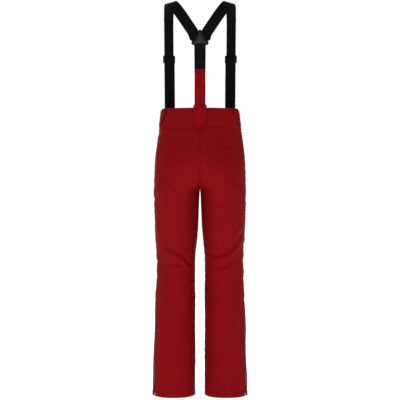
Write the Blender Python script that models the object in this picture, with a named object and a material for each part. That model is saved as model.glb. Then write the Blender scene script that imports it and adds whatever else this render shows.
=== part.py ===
"""Ski trousers with removable elastic braces, in the shape they take when worn.

Metres, +Z up, +X the wearer's left, -Y the wearer's front. The origin is the middle of
the waist opening, level with the top of the back waistband. Angles round a leg or the
waist start at the wearer's outer side: +90 degrees is the back, -90 degrees the front.
"""

import math

import bmesh
import bpy
import numpy as np
from mathutils import Matrix, Vector

# Lengths down the body.
RISE = 0.294
INSEAM = 0.760
KNEE_HEIGHT = 0.495
WAISTBAND_HEIGHT = 0.070
FRONT_DROP = 0.025
SEAT_HEIGHT = 0.094
MID_THIGH_DROP = 0.136
ANKLE_ZIP_LENGTH = 0.270
ANKLE_ZIP_BASE = 0.024

# Half widths and depths at each height: outer side, front and back, from the middle.
WAIST = {"outer": 0.141, "front": 0.101, "back": 0.114}
SEAM = {"outer": 0.150, "front": 0.104, "back": 0.118}
SEAT = {"outer": 0.1665, "front": 0.110, "back": 0.138}
CROTCH = {"outer": 0.1685, "front": 0.106, "back": 0.122}
THIGH = {"outer": 0.1665, "front": 0.096, "back": 0.104}
KNEE = {"outer": 0.159, "front": 0.080, "back": 0.082}
CALF = {"outer": 0.168, "front": 0.080, "back": 0.086}
HEM = {"outer": 0.1757, "front": 0.082, "back": 0.088}

# Half the gap between the legs at each height under the crotch.
THIGH_GAP = 0.007
KNEE_GAP = 0.018
HEM_GAP = 0.0175
CROTCH_ROUNDING = 2.2

# Cloth and the room between pieces.
SHELL_THICKNESS = 0.0026
BAND_THICKNESS = 0.0034
FACING_THICKNESS = 0.0018
LINING_THICKNESS = 0.0015
SEAM_GAP = 0.0005
CLEARANCE = 0.0004

# The knee bends in a soft stretch of this half height.
KNEE_BAND = 0.088

# Braces.
STRAP_WIDTH = 0.040
STRAP_THICKNESS = 0.0018
BACK_JOIN_HEIGHT = 0.140
JOIN_OVERLAP = 0.014
YOKE_HEIGHT = 0.248
YOKE_THICKNESS = 0.0030
YOKE_CORNER = 0.0080
YOKE_BADGE = 0.0010
BADGE_MARGIN = 0.0012
BAR_WIDTH = 0.0030
SLOT_WIDTH = 0.0046
SLOT_ROOM = 0.0015
YOKE_WEB = 0.0019
ADJUSTER_HEIGHT = 0.189
ADJUSTER_LENGTH = 0.030
ADJUSTER_RAIL = 0.0034
ADJUSTER_CORNER = 0.004
RING_HEIGHT = 0.021
RING_TOP = 0.005
RING_BAR = 0.0026
TAB_LENGTH = 0.046
SLEEVE_THICKNESS = 0.0018
BACK_SLEEVE_RISE = 0.011
SLEEVE_TAPER = 0.004
SLEEVE_ROOM = 0.0008

# Zips: a coil that stands in the slit, its tape behind, a slider and a pull.
COIL_WIDTH = 0.0056
COIL_PROUD = 0.0016
TAPE_WIDTH = 0.018
TAPE_THICKNESS = 0.0008
TAPE_DROP = 0.0020
SLIDER_LENGTH = 0.0110
SLIDER_WALL = 0.0010
SLIDER_FOOT = 0.0006
LUG_LENGTH = 0.0042
LUG_ROOT = 0.0004
PULL_LENGTH = 0.021
PULL_WIDTH = 0.0044
PULL_THICKNESS = 0.0014
PIN_RADIUS = 0.0007
FLY_TO_CROTCH = 0.084
FLY_TOP_MARGIN = 0.0025
UNDERLAP_REACH = 0.012
UNDERLAP_HALF_WIDTH = 0.020
POCKET_LENGTH = 0.140
POCKET_TOP_ANGLE = math.radians(-53)
POCKET_FOOT_ANGLE = math.radians(-38)
ZIP_MARGIN = 0.010
ANKLE_ZIP_ANGLE = math.radians(27)

# Waist closure and side tabs.
FLAP_START = -0.032
FLAP_END = 0.034
FLAP_STAND_OFF = 0.0032
SNAP_SIDE = 0.020
SNAP_RADIUS = 0.0070
SNAP_DROPS = (0.0365, 0.0575)
SIDE_TAB_FRONT = math.radians(-12)
SIDE_TAB_TOP = math.radians(33)
SIDE_TAB_FOOT = math.radians(16)
SIDE_TAB_MARGIN = 0.006
SIDE_TAB_STAND_OFF = 0.0009

# Snow gaiters.
GAITER_BASE = 0.016
GAITER_HEIGHT = 0.215
GAITER_RADIUS = 0.060
GAITER_INSET = 0.012

SEAM_Z = -WAISTBAND_HEIGHT
CROTCH_Z = -RISE
HEM_Z = -RISE - INSEAM
KNEE_Z = HEM_Z + KNEE_HEIGHT
CALF_Z = HEM_Z + ANKLE_ZIP_LENGTH + ANKLE_ZIP_BASE
STATIONS = (
    (HEM_Z, HEM),
    (CALF_Z, CALF),
    (KNEE_Z, KNEE),
    (CROTCH_Z - MID_THIGH_DROP, THIGH),
    (CROTCH_Z, CROTCH),
    (CROTCH_Z + SEAT_HEIGHT, SEAT),
    (SEAM_Z, SEAM),
    (0.0, WAIST),
)
LEFT, RIGHT = 1, -1
SIDES = (("left", LEFT), ("right", RIGHT))

RED = ("red_shell_cloth", (0.20, 0.008, 0.010), 0.75, 0.0)
DARK_RED = ("red_facing_cloth", (0.15, 0.006, 0.008), 0.8, 0.0)
BLACK = ("black_elastic", (0.010, 0.010, 0.010), 0.85, 0.0)
PLASTIC = ("black_plastic", (0.018, 0.018, 0.019), 0.42, 0.0)
COIL = ("black_zip_coil", (0.012, 0.012, 0.013), 0.5, 0.0)
METAL = ("dark_metal", (0.09, 0.09, 0.10), 0.35, 0.9)
LINING = ("black_lining", (0.02, 0.02, 0.022), 0.9, 0.0)


def smooth_curve(stations):
    """A curve through (height, value) pairs that never overshoots them."""
    heights = np.array([h for h, _ in stations])
    values = np.array([v for _, v in stations])
    steps = np.diff(heights)
    slopes = np.diff(values) / steps
    tangents = np.zeros(len(heights))
    tangents[0], tangents[-1] = slopes[0], slopes[-1]
    for i in range(1, len(heights) - 1):
        before, after = slopes[i - 1], slopes[i]
        if before * after > 0:
            tangents[i] = 2 * before * after / (before + after)

    def curve(z):
        i = int(np.clip(np.searchsorted(heights, z) - 1, 0, len(steps) - 1))
        t = (z - heights[i]) / steps[i]
        ease = t * t * (3 - 2 * t)
        lean = steps[i] * (tangents[i] * t * (1 - t) ** 2 - tangents[i + 1] * t * t * (1 - t))
        return float(values[i] + (values[i + 1] - values[i]) * ease + lean)

    return curve


OUTER = smooth_curve([(z, s["outer"]) for z, s in STATIONS])
FRONT = smooth_curve([(z, s["front"]) for z, s in STATIONS])
BACK = smooth_curve([(z, s["back"]) for z, s in STATIONS])
GAP = smooth_curve([
    (HEM_Z, HEM_GAP),
    (KNEE_Z, KNEE_GAP),
    (CROTCH_Z - MID_THIGH_DROP, THIGH_GAP),
    (CROTCH_Z, 0.0),
])


def section(z):
    """The leg's ellipse at a height: its middle in X, half width, front and back depth."""
    outer = OUTER(z)
    if z <= CROTCH_Z:
        middle = (outer + GAP(z)) / 2
    else:
        share = min(1.0, (z - CROTCH_Z) / (SEAM_Z - CROTCH_Z))
        middle = outer / 2 * (1 - share) ** CROTCH_ROUNDING
    return middle, outer - middle, FRONT(z), BACK(z)


def on_surface(z, angle, inset=0.0, side=LEFT):
    """The point of the cloth's outer face at a height and an angle, moved in by inset."""
    middle, half, front, back = section(z)
    depth = (back if angle > 0 else front) - inset
    return Vector((side * (middle + (half - inset) * math.cos(angle)), depth * math.sin(angle), z))


def normal_at(z, angle, side=LEFT):
    """The outward normal of the cloth there."""
    step = 1e-3
    across = on_surface(z, angle + step, 0, side) - on_surface(z, angle - step, 0, side)
    along = on_surface(z + step, angle, 0, side) - on_surface(z - step, angle, 0, side)
    return (across.cross(along) * side).normalized()


def angle_at_x(z, x, inset=0.0):
    """How far round the ellipse the line at distance x from the middle plane lies."""
    middle, half, _, _ = section(z)
    return math.acos(max(-1.0, min(1.0, (x - middle) / (half - inset))))


def inner_edge(z, half_gap, inset=0.0):
    """Where a panel ends at the middle plane, or at the inseam under the crotch."""
    _, half, _, _ = section(z)
    return min(angle_at_x(z, half_gap, inset), math.pi - SEAM_GAP / 2 / half)


def outseam_angle(z):
    """The outseam, which swings back under the knee to carry the ankle zip."""
    share = (KNEE_Z + KNEE_BAND - z) / (KNEE_Z + KNEE_BAND - CALF_Z)
    return ANKLE_ZIP_ANGLE * max(0.0, min(1.0, share))


ZIP_SLIT = COIL_WIDTH / 2 + 0.0009
SLIT_TAPER = 0.004


def outseam_half_gap(z):
    """Half the gap between front and back panels, opened where the ankle zip stands."""
    top = HEM_Z + ANKLE_ZIP_BASE + ANKLE_ZIP_LENGTH
    opened = max(0.0, min(1.0, (top + SLIT_TAPER - z) / SLIT_TAPER))
    return SEAM_GAP / 2 + (ZIP_SLIT - SEAM_GAP / 2) * opened


FLY_FOOT_Z = CROTCH_Z + FLY_TO_CROTCH
FLY_TOP_Z = SEAM_Z - FLY_TOP_MARGIN


def centre_half_gap(z):
    """Half the gap between the two front panels, opened along the fly."""
    opened = max(0.0, min(1.0, (z - FLY_FOOT_Z + SLIT_TAPER) / SLIT_TAPER))
    return SEAM_GAP / 2 + (ZIP_SLIT - SEAM_GAP / 2) * opened


def clear_scene():
    for obj in list(bpy.data.objects):
        bpy.data.objects.remove(obj, do_unlink=True)


def material(spec):
    name, colour, roughness, metallic = spec
    found = bpy.data.materials.get(name)
    if found:
        return found
    made = bpy.data.materials.new(name)
    made.use_nodes = True
    shader = made.node_tree.nodes["Principled BSDF"]
    shader.inputs["Base Color"].default_value = (*colour, 1.0)
    shader.inputs["Roughness"].default_value = roughness
    shader.inputs["Metallic"].default_value = metallic
    made.diffuse_color = (*colour, 1.0)
    return made


def add_object(name, mesh, finish, matrix=None):
    obj = bpy.data.objects.new(name, mesh)
    bpy.context.scene.collection.objects.link(obj)
    if finish:
        mesh.materials.append(material(finish))
    if matrix is not None:
        obj.matrix_world = matrix
    return obj


def helper(obj):
    """A cutter or a joining shape, which is no piece of its own."""
    obj.hide_render = True
    obj.display_type = "WIRE"
    return obj


def grid_mesh(name, rows, flip=False):
    """A sheet of quads through rows of points."""
    work = bmesh.new()
    made = [[work.verts.new(p) for p in row] for row in rows]
    for low, high in zip(made, made[1:]):
        for a, b, c, d in zip(low, low[1:], high[1:], high):
            work.faces.new((d, c, b, a) if flip else (a, b, c, d))
    mesh = bpy.data.meshes.new(name)
    work.to_mesh(mesh)
    work.free()
    return mesh


def slab(name, outer, inner, finish):
    """A closed body between an outer and an inner sheet with the same rows of points."""
    work = bmesh.new()
    faces = [[[work.verts.new(p) for p in row] for row in rows] for rows in (outer, inner)]
    for rows in faces:
        for low, high in zip(rows, rows[1:]):
            for a, b, c, d in zip(low, low[1:], high[1:], high):
                work.faces.new((a, b, c, d))
    front, rear = faces
    rims = [(front[0], rear[0]), (front[-1], rear[-1])]
    rims += [([row[k] for row in front], [row[k] for row in rear]) for k in (0, -1)]
    for near, far in rims:
        for a, b, c, d in zip(near, near[1:], far[1:], far):
            work.faces.new((a, b, c, d))
    bmesh.ops.recalc_face_normals(work, faces=work.faces)
    mesh = bpy.data.meshes.new(name)
    work.to_mesh(mesh)
    work.free()
    return add_object(name, mesh, finish)


def thicken(obj, thickness, offset):
    solid = obj.modifiers.new("Thickness", "SOLIDIFY")
    solid.thickness = thickness
    solid.offset = offset
    solid.use_even_offset = True
    solid.use_rim = True
    return obj


def boolean(obj, other, operation):
    cut = obj.modifiers.new(operation.title(), "BOOLEAN")
    cut.operation = operation
    cut.solver = "EXACT"
    cut.object = helper(other)
    return obj


def box_mesh(name, size, centre=(0, 0, 0)):
    work = bmesh.new()
    bmesh.ops.create_cube(work, size=1.0)
    bmesh.ops.scale(work, vec=size, verts=work.verts)
    bmesh.ops.translate(work, vec=centre, verts=work.verts)
    mesh = bpy.data.meshes.new(name)
    work.to_mesh(mesh)
    work.free()
    return mesh


def cylinder_mesh(name, radius, length, axis, centre=(0, 0, 0), sides=20):
    """A round bar along a local axis."""
    work = bmesh.new()
    bmesh.ops.create_cone(
        work, cap_ends=True, segments=sides, radius1=radius, radius2=radius, depth=length
    )
    turn = Vector((0, 0, 1)).rotation_difference(Vector(axis)).to_matrix()
    bmesh.ops.rotate(work, cent=(0, 0, 0), matrix=turn, verts=work.verts)
    bmesh.ops.translate(work, vec=centre, verts=work.verts)
    mesh = bpy.data.meshes.new(name)
    work.to_mesh(mesh)
    work.free()
    return mesh


def prism_mesh(name, outline, axis, thickness):
    """A flat outline pushed out along an axis by a thickness, half to each side."""
    shift = Vector(axis) * thickness
    work = bmesh.new()
    foot = [work.verts.new(Vector(p) - shift / 2) for p in outline]
    face = work.faces.new(foot)
    pushed = bmesh.ops.extrude_face_region(work, geom=[face])
    moved = [v for v in pushed["geom"] if isinstance(v, bmesh.types.BMVert)]
    bmesh.ops.translate(work, vec=shift, verts=moved)
    bmesh.ops.recalc_face_normals(work, faces=work.faces)
    mesh = bpy.data.meshes.new(name)
    work.to_mesh(mesh)
    work.free()
    return mesh


def rounded_outline(corners, radius, steps=4):
    """A convex outline in local X and Z with round corners."""
    points = []
    count = len(corners)
    for i, corner in enumerate(corners):
        here = Vector(corner)
        to_last = (Vector(corners[i - 1]) - here).normalized()
        to_next = (Vector(corners[(i + 1) % count]) - here).normalized()
        half = to_last.angle(to_next) / 2
        centre = here + (to_last + to_next).normalized() * radius / math.sin(half)
        start = here + to_last * radius / math.tan(half) - centre
        end = here + to_next * radius / math.tan(half) - centre
        sweep = start.angle_signed(end)
        for k in range(steps + 1):
            turned = start.copy()
            turned.rotate(Matrix.Rotation(-sweep * k / steps, 2))
            points.append((centre.x + turned.x, 0.0, centre.y + turned.y))
    return points


def frame_at(origin, along, outward):
    """Local X across, local Y along, local Z outward, as a world matrix."""
    along = along.normalized()
    across = along.cross(outward).normalized()
    outward = across.cross(along).normalized()
    turned = Matrix((across, along, outward)).transposed().to_4x4()
    return Matrix.Translation(origin) @ turned


# ---------------------------------------------------------------- cloth panels

COLUMNS = 14


def spaced_rows(low, high, count):
    """Heights from low to high, closer together just over the crotch."""
    if low < CROTCH_Z < high:
        under = max(2, count // 3)
        over = count - under
        lower = [low + (CROTCH_Z - low) * i / under for i in range(under)]
        upper = [CROTCH_Z + (high - CROTCH_Z) * (i / over) ** 1.7 for i in range(over + 1)]
        return lower + upper
    return [low + (high - low) * i / count for i in range(count + 1)]


def with_steps(heights, extra):
    low, high = heights[0], heights[-1]
    added = [z for z in extra if low + SLIT_TAPER < z < high - SLIT_TAPER]
    kept = [z for z in heights if all(abs(z - e) > SLIT_TAPER for e in added) or z in (low, high)]
    return sorted(kept + added)


def leg_panel(name, side, back, low, high, count, extra_heights=()):
    """A front or back panel of one leg between two heights."""
    sheets = ([], [])
    for z in with_steps(spaced_rows(low, high, count), extra_heights):
        _, half, _, _ = section(z)
        seam = outseam_angle(z)
        slack = outseam_half_gap(z) / half
        for rows, inset in zip(sheets, (0.0, SHELL_THICKNESS)):
            inner = inner_edge(z, SEAM_GAP / 2 if back else centre_half_gap(z), inset)
            start, end = (seam + slack, inner) if back else (seam - slack, -inner)
            rows.append([
                on_surface(z, start + (end - start) * i / COLUMNS, inset, side)
                for i in range(COLUMNS + 1)
            ])
    return slab(name, *sheets, RED)


def build_leg_panels():
    knee_top, knee_foot = KNEE_Z + KNEE_BAND, KNEE_Z - KNEE_BAND
    seam = SEAM_GAP / 2
    zip_top = HEM_Z + ANKLE_ZIP_BASE + ANKLE_ZIP_LENGTH
    for word, side in SIDES:
        for face, back in (("front", False), ("back", True)):
            fly = () if back else (FLY_FOOT_Z, FLY_FOOT_Z - SLIT_TAPER)
            panel = leg_panel(
                f"{word}_{face}_thigh", side, back, knee_top + seam, SEAM_Z - seam, 12, fly
            )
            if not back:
                cut_pocket(panel, side)
            leg_panel(f"{word}_{face}_knee", side, back, knee_foot + seam, knee_top - seam, 3)
            leg_panel(
                f"{word}_{face}_shin", side, back, HEM_Z, knee_foot - seam, 6,
                (zip_top, zip_top + SLIT_TAPER),
            )


def waist_top(angle):
    """The top edge of the waistband, level at the back and sides and lower in front."""
    forward = max(0.0, -math.sin(angle))
    return -FRONT_DROP * forward * forward * (3 - 2 * forward)


def band_sheet(start, end, foot, stand_off, side, columns, trim=0.0, rows=3):
    """Rows of points over the waist. start and end give the edges' angles at each share."""
    points = []
    for j in range(rows + 1):
        level = j / rows
        first, last = start(level), end(level)
        row = []
        for i in range(columns + 1):
            angle = first + (last - first) * i / columns
            top = waist_top(angle) - trim
            row.append(on_surface(foot + (top - foot) * level, angle, -stand_off, side))
        points.append(row)
    return points


def waistband(name, start, end, side, columns):
    sheets = [
        band_sheet(lambda _: start, lambda _: end, SEAM_Z + SEAM_GAP / 2, stand_off, side, columns)
        for stand_off in (0.0, -BAND_THICKNESS)
    ]
    return slab(name, *sheets, RED)


def build_waistbands():
    slack = SEAM_GAP / WAIST["front"]
    waistband("back_waistband", slack, math.pi - slack, LEFT, 36)
    for word, side in SIDES:
        centre = math.pi / 2 - SEAM_GAP / 2 / WAIST["outer"]
        waistband(f"{word}_front_waistband", -slack, -centre, side, 12)


def build_side_tabs():
    """Hook-and-loop tabs, sewn in front of the side seam with the free end slanting back."""
    for word, side in SIDES:
        sheets = [
            band_sheet(
                lambda _: SIDE_TAB_FRONT,
                lambda level: SIDE_TAB_FOOT + (SIDE_TAB_TOP - SIDE_TAB_FOOT) * level,
                SEAM_Z + SIDE_TAB_MARGIN, stand_off, side, 8, SIDE_TAB_MARGIN,
            )
            for stand_off in (SIDE_TAB_STAND_OFF + FACING_THICKNESS, SIDE_TAB_STAND_OFF)
        ]
        slab(f"{word}_waist_tab", *sheets, RED)


# ---------------------------------------------------------------- zips

def straight_line(low, high, angle_at, normal, side, steps=12):
    """A straight line over the cloth between two heights, just clear of its highest point.

    Gives its foot, its direction, the outward direction, and how far under it the cloth
    lies at its lowest, over the width of a zip's tape.
    """
    ridge, edges = [], []
    for i in range(steps + 1):
        z = low + (high - low) * i / steps
        angle = angle_at(z)
        reach = TAPE_WIDTH / 2 / section(z)[1]
        ridge.append(on_surface(z, angle, 0, side))
        edges += [on_surface(z, angle + sign * reach, 0, side) for sign in (-1, 1)]
    first, last = ridge[0], ridge[-1]
    along = (last - first).normalized()
    outward = (normal - along * normal.dot(along)).normalized()
    top = max((p - first).dot(outward) for p in ridge)
    foot = min((p - first).dot(outward) for p in ridge + edges)
    return first + outward * top, along, outward, top - foot


def fly_line():
    front = Vector((0, -1, 0))
    return straight_line(FLY_FOOT_Z, FLY_TOP_Z, lambda z: -angle_at_x(z, 0), front, LEFT)


def pocket_line(side):
    high = SEAM_Z - ZIP_MARGIN
    low = high - POCKET_LENGTH
    swing = POCKET_TOP_ANGLE - POCKET_FOOT_ANGLE
    normal = normal_at((low + high) / 2, (POCKET_FOOT_ANGLE + POCKET_TOP_ANGLE) / 2, side)
    return straight_line(
        low, high, lambda z: POCKET_FOOT_ANGLE + swing * (z - low) / POCKET_LENGTH, normal, side
    )


def ankle_line(side):
    low = HEM_Z + ANKLE_ZIP_BASE
    normal = normal_at(low + ANKLE_ZIP_LENGTH / 2, ANKLE_ZIP_ANGLE, side)
    return straight_line(low, low + ANKLE_ZIP_LENGTH, lambda _z: ANKLE_ZIP_ANGLE, normal, side)


def build_zip(name, line, length, slider_at):
    """A coil on its tape, with a slider and a pull. slider_at is the slider's start."""
    origin, along, outward, room = line
    place = frame_at(origin, along, outward)
    depth = SHELL_THICKNESS + room + TAPE_DROP
    half_coil, half_tape = COIL_WIDTH / 2, TAPE_WIDTH / 2
    foot = -depth - TAPE_THICKNESS
    outline = [
        (-half_coil, 0, COIL_PROUD), (-half_coil, 0, -depth), (-half_tape, 0, -depth),
        (-half_tape, 0, foot), (half_tape, 0, foot), (half_tape, 0, -depth),
        (half_coil, 0, -depth), (half_coil, 0, COIL_PROUD),
    ]
    chain = prism_mesh(f"{name}_chain", outline, (0, 1, 0), length)
    chain.transform(Matrix.Translation((0, length / 2, 0)))
    add_object(f"{name}_chain", chain, COIL, place)

    at = place @ Matrix.Translation((0, slider_at, 0))
    build_slider(f"{name}_slider", at)
    pull_place = at @ Matrix.Translation((0, 0, PIN_LIFT))
    build_pull(f"{name}_pull", pull_place)


PLATE_FOOT = COIL_PROUD + CLEARANCE
LUG_GAP = PULL_WIDTH / 2 + CLEARANCE
EYE_WALL = 0.0008
PULL_EYE = PIN_RADIUS + CLEARANCE + EYE_WALL
PIN_LIFT = PLATE_FOOT + SLIDER_WALL + PULL_EYE + CLEARANCE


def build_slider(name, place):
    """A channel over the coil, with two lugs and a pin for the pull."""
    wide = COIL_WIDTH + 2 * CLEARANCE + 2 * SLIDER_WALL
    top = PLATE_FOOT + SLIDER_WALL
    body = box_mesh(name, (wide, SLIDER_LENGTH, top - SLIDER_FOOT), (0, 0, (top + SLIDER_FOOT) / 2))
    obj = add_object(name, body, PLASTIC, place)
    channel = (COIL_WIDTH + 2 * CLEARANCE, SLIDER_LENGTH * 2, PLATE_FOOT * 2)
    boolean(obj, add_object(f"{name}_channel", box_mesh("channel", channel), None, place), "DIFFERENCE")
    lug_height = PIN_LIFT + PIN_RADIUS + SLIDER_FOOT
    for word, sign in (("a", 1), ("b", -1)):
        size = (SLIDER_WALL, LUG_LENGTH, lug_height - top + LUG_ROOT)
        centre = (sign * (LUG_GAP + SLIDER_WALL / 2), 0, (lug_height + top - LUG_ROOT) / 2)
        lug = add_object(f"{name}_lug_{word}", box_mesh("lug", size, centre), None, place)
        boolean(obj, lug, "UNION")
    length = 2 * (LUG_GAP + SLIDER_WALL / 2)
    pin = cylinder_mesh("pin", PIN_RADIUS, length, (1, 0, 0), (0, 0, PIN_LIFT), 12)
    boolean(obj, add_object(f"{name}_pin", pin, None, place), "UNION")


def build_pull(name, place):
    """A flat tab that hangs from its eye along local -Y."""
    size = (PULL_WIDTH, PULL_LENGTH, PULL_THICKNESS)
    obj = add_object(name, box_mesh(name, size, (0, -PULL_LENGTH / 2 - PULL_EYE / 2, 0)), PLASTIC, place)
    eye = cylinder_mesh("eye", PULL_EYE, PULL_WIDTH, (1, 0, 0), (0, 0, 0), 16)
    boolean(obj, add_object(f"{name}_eye", eye, None, place), "UNION")
    bore = cylinder_mesh("bore", PIN_RADIUS + CLEARANCE, PULL_WIDTH * 2, (1, 0, 0), (0, 0, 0), 16)
    boolean(obj, add_object(f"{name}_bore", bore, None, place), "DIFFERENCE")


def cut_pocket(panel, side):
    """Opens the slit that the pocket's coil stands in."""
    origin, along, outward, _room = pocket_line(side)
    size = (2 * ZIP_SLIT, POCKET_LENGTH + 2 * CLEARANCE, 0.06)
    place = frame_at(origin + along * POCKET_LENGTH / 2, along, outward)
    boolean(panel, add_object(f"{panel.name}_slit", box_mesh("slit", size), None, place), "DIFFERENCE")


def build_zips():
    ride = SLIDER_LENGTH / 2 + CLEARANCE
    build_zip("fly_zip", fly_line(), FLY_TOP_Z - FLY_FOOT_Z, FLY_TOP_Z - FLY_FOOT_Z - ride)
    for word, side in SIDES:
        build_zip(f"{word}_pocket_zip", pocket_line(side), POCKET_LENGTH, POCKET_LENGTH - ride)
        build_zip(f"{word}_ankle_zip", ankle_line(side), ANKLE_ZIP_LENGTH, ride)


# ---------------------------------------------------------------- inner pieces

INNER_ROOM = 0.0018
INNER_DROP = 0.006
UNDERLAP_DROP = 0.004
BAG_LENGTH = 0.215
BAG_FRONT = math.radians(-66)
BAG_SIDE = math.radians(-26)


def depth_behind(zip_line_values):
    """How deep a lining lies to clear the zip's tape."""
    room = zip_line_values[3]
    return SHELL_THICKNESS + room + TAPE_DROP + TAPE_THICKNESS + INNER_ROOM


def build_inner_pieces():
    depth = depth_behind(fly_line())
    low = FLY_FOOT_Z - UNDERLAP_REACH
    wide = UNDERLAP_HALF_WIDTH
    rows = []
    for j in range(6):
        z = low + (SEAM_Z - UNDERLAP_DROP - low) * j / 5
        rows.append([Vector((x, depth - FRONT(z), z)) for x in (-wide, wide)])
    mesh = grid_mesh("fly_underlap", rows)
    thicken(add_object("fly_underlap", mesh, DARK_RED), FACING_THICKNESS, -1)

    for word, side in SIDES:
        depth = depth_behind(pocket_line(side))
        rows = []
        for j in range(7):
            z = SEAM_Z - INNER_DROP - BAG_LENGTH * j / 6
            rows.append([
                on_surface(z, BAG_FRONT + (BAG_SIDE - BAG_FRONT) * i / 5, depth, side)
                for i in range(6)
            ])
        mesh = grid_mesh(f"{word}_pocket_bag", rows, flip=side == LEFT)
        thicken(add_object(f"{word}_pocket_bag", mesh, LINING), LINING_THICKNESS, -1)
        build_gaiter(word, side)


def build_gaiter(word, side):
    """An elasticated inner cuff, open at both ends."""
    rows = []
    for j in range(6):
        share = j / 5
        z = HEM_Z + GAITER_BASE + GAITER_HEIGHT * share
        middle, half, front, back = section(z)
        ease = share ** 0.6
        row = []
        for i in range(20):
            angle = 2 * math.pi * i / 20
            depth = back if angle < math.pi else front
            wide = GAITER_RADIUS + (half - GAITER_INSET - GAITER_RADIUS) * ease
            deep = GAITER_RADIUS + (depth - GAITER_INSET - GAITER_RADIUS) * ease
            row.append(Vector((side * (middle + wide * math.cos(angle)), deep * math.sin(angle), z)))
        rows.append(row)
    work = bmesh.new()
    made = [[work.verts.new(p) for p in row] for row in rows]
    for lower, upper in zip(made, made[1:]):
        for i in range(20):
            k = (i + 1) % 20
            work.faces.new((lower[i], lower[k], upper[k], upper[i]))
    bmesh.ops.recalc_face_normals(work, faces=work.faces)
    mesh = bpy.data.meshes.new(f"{word}_gaiter")
    work.to_mesh(mesh)
    work.free()
    thicken(add_object(f"{word}_gaiter", mesh, LINING), LINING_THICKNESS, -1)


# ---------------------------------------------------------------- waist closure

def flap_point(x, z, stand_off):
    """A point in front of the waistband at distance x from the middle plane."""
    half, depth = OUTER(z) + stand_off, FRONT(z) + stand_off
    return Vector((x, -depth * math.sqrt(1 - (x / half) ** 2), z))


def build_closure():
    top, foot = -FRONT_DROP - 0.001, SEAM_Z + 0.001
    rows = []
    for j in range(4):
        z = foot + (top - foot) * j / 3
        rows.append([
            flap_point(FLAP_START + (FLAP_END - FLAP_START) * i / 6, z, FLAP_STAND_OFF)
            for i in range(7)
        ])
    mesh = grid_mesh("closure_flap", rows)
    flap = thicken(add_object("closure_flap", mesh, RED), FACING_THICKNESS, 1)
    for word, drop in zip(("upper", "lower"), SNAP_DROPS):
        outside = flap_point(SNAP_SIDE, -drop, FLAP_STAND_OFF)
        across = flap_point(SNAP_SIDE + 0.001, -drop, 0) - flap_point(SNAP_SIDE - 0.001, -drop, 0)
        outward = across.cross(Vector((0, 0, 1))).normalized()
        place = frame_at(outside, Vector((0, 0, 1)), outward)
        build_snap(word, place, flap)


SNAP_POST = 0.0022
SNAP_CAP = 0.0016
SNAP_SOCKET = 0.0009
SNAP_RIM = 0.0015
SNAP_KNOB = 0.0014
SNAP_REACH = 0.0020
SNAP_PLATE = 0.0008


def build_snap(word, place, flap):
    """A press stud: cap and socket through the flap, stud on the waistband under it."""
    cap_foot = FACING_THICKNESS + CLEARANCE
    cap = cylinder_mesh("cap", SNAP_RADIUS, SNAP_CAP, (0, 0, 1), (0, 0, cap_foot + SNAP_CAP / 2), 24)
    obj = add_object(f"snap_cap_{word}", cap, METAL, place)
    post_foot, post_top = -CLEARANCE - SNAP_SOCKET, cap_foot + SNAP_CAP / 2
    post = cylinder_mesh(
        "post", SNAP_POST, post_top - post_foot, (0, 0, 1), (0, 0, (post_top + post_foot) / 2), 16
    )
    boolean(obj, add_object(f"snap_post_{word}", post, None, place), "UNION")
    socket = cylinder_mesh(
        "socket", SNAP_RADIUS - SNAP_RIM, SNAP_SOCKET, (0, 0, 1),
        (0, 0, -CLEARANCE - SNAP_SOCKET / 2), 20
    )
    boolean(obj, add_object(f"snap_socket_{word}", socket, None, place), "UNION")
    mouth = cylinder_mesh(
        "mouth", SNAP_KNOB + CLEARANCE, 0.0060, (0, 0, 1), (0, 0, -0.0031), 16
    )
    boolean(obj, add_object(f"snap_mouth_{word}", mouth, None, place), "DIFFERENCE")
    hole = cylinder_mesh("hole", SNAP_POST + CLEARANCE, 0.010, (0, 0, 1), (0, 0, 0), 16)
    boolean(flap, add_object(f"flap_hole_{word}", hole, None, place), "DIFFERENCE")

    floor = -FLAP_STAND_OFF + CLEARANCE
    base = cylinder_mesh(
        "base", SNAP_RADIUS - SNAP_RIM, SNAP_PLATE, (0, 0, 1), (0, 0, floor + SNAP_PLATE / 2), 20
    )
    stud = add_object(f"snap_stud_{word}", base, METAL, place)
    knob = cylinder_mesh(
        "knob", SNAP_KNOB, SNAP_REACH, (0, 0, 1),
        (0, 0, floor + SNAP_PLATE + SNAP_REACH * 0.3), 16
    )
    boolean(stud, add_object(f"snap_knob_{word}", knob, None, place), "UNION")


# ---------------------------------------------------------------- braces

BACK_END_Y = BACK(SEAM_Z) + CLEARANCE + 0.0040
BACK_FOOT_Z = SEAM_Z + 0.008
BACK_LEAN = 0.068
FRONT_X = 0.1105
FRONT_ANGLE = -angle_at_x(SEAM_Z, FRONT_X)
FRONT_YAW = math.radians(32)
FRONT_LEAN = 0.014


def back_y(z):
    """The back strap's middle: upright behind the waistband, leaning forward above it."""
    over = max(0.0, z - BACK_SLEEVE_RISE)
    return BACK_END_Y - BACK_LEAN * over


def front_place():
    """Where the front end of a strap stands, clear of the waistband at its foot."""
    foot = on_surface(SEAM_Z, FRONT_ANGLE)
    outward = Vector((math.sin(FRONT_YAW), -math.cos(FRONT_YAW), 0))
    return foot + outward * (0.0048), outward


FRONT_FOOT, FRONT_OUT = front_place()
STRAP_RISE_FROM = RING_TOP - RING_BAR / 2


RING_LOOP = RING_BAR / math.sqrt(2) + CLEARANCE + STRAP_THICKNESS / 2


def front_strap(z):
    """The middle of a left front strap at a height: straight from the ring upwards."""
    over = max(0.0, z - STRAP_RISE_FROM)
    foot = Vector((FRONT_FOOT.x, FRONT_FOOT.y, z))
    return foot + FRONT_OUT * (RING_LOOP + FRONT_LEAN * over)


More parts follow.
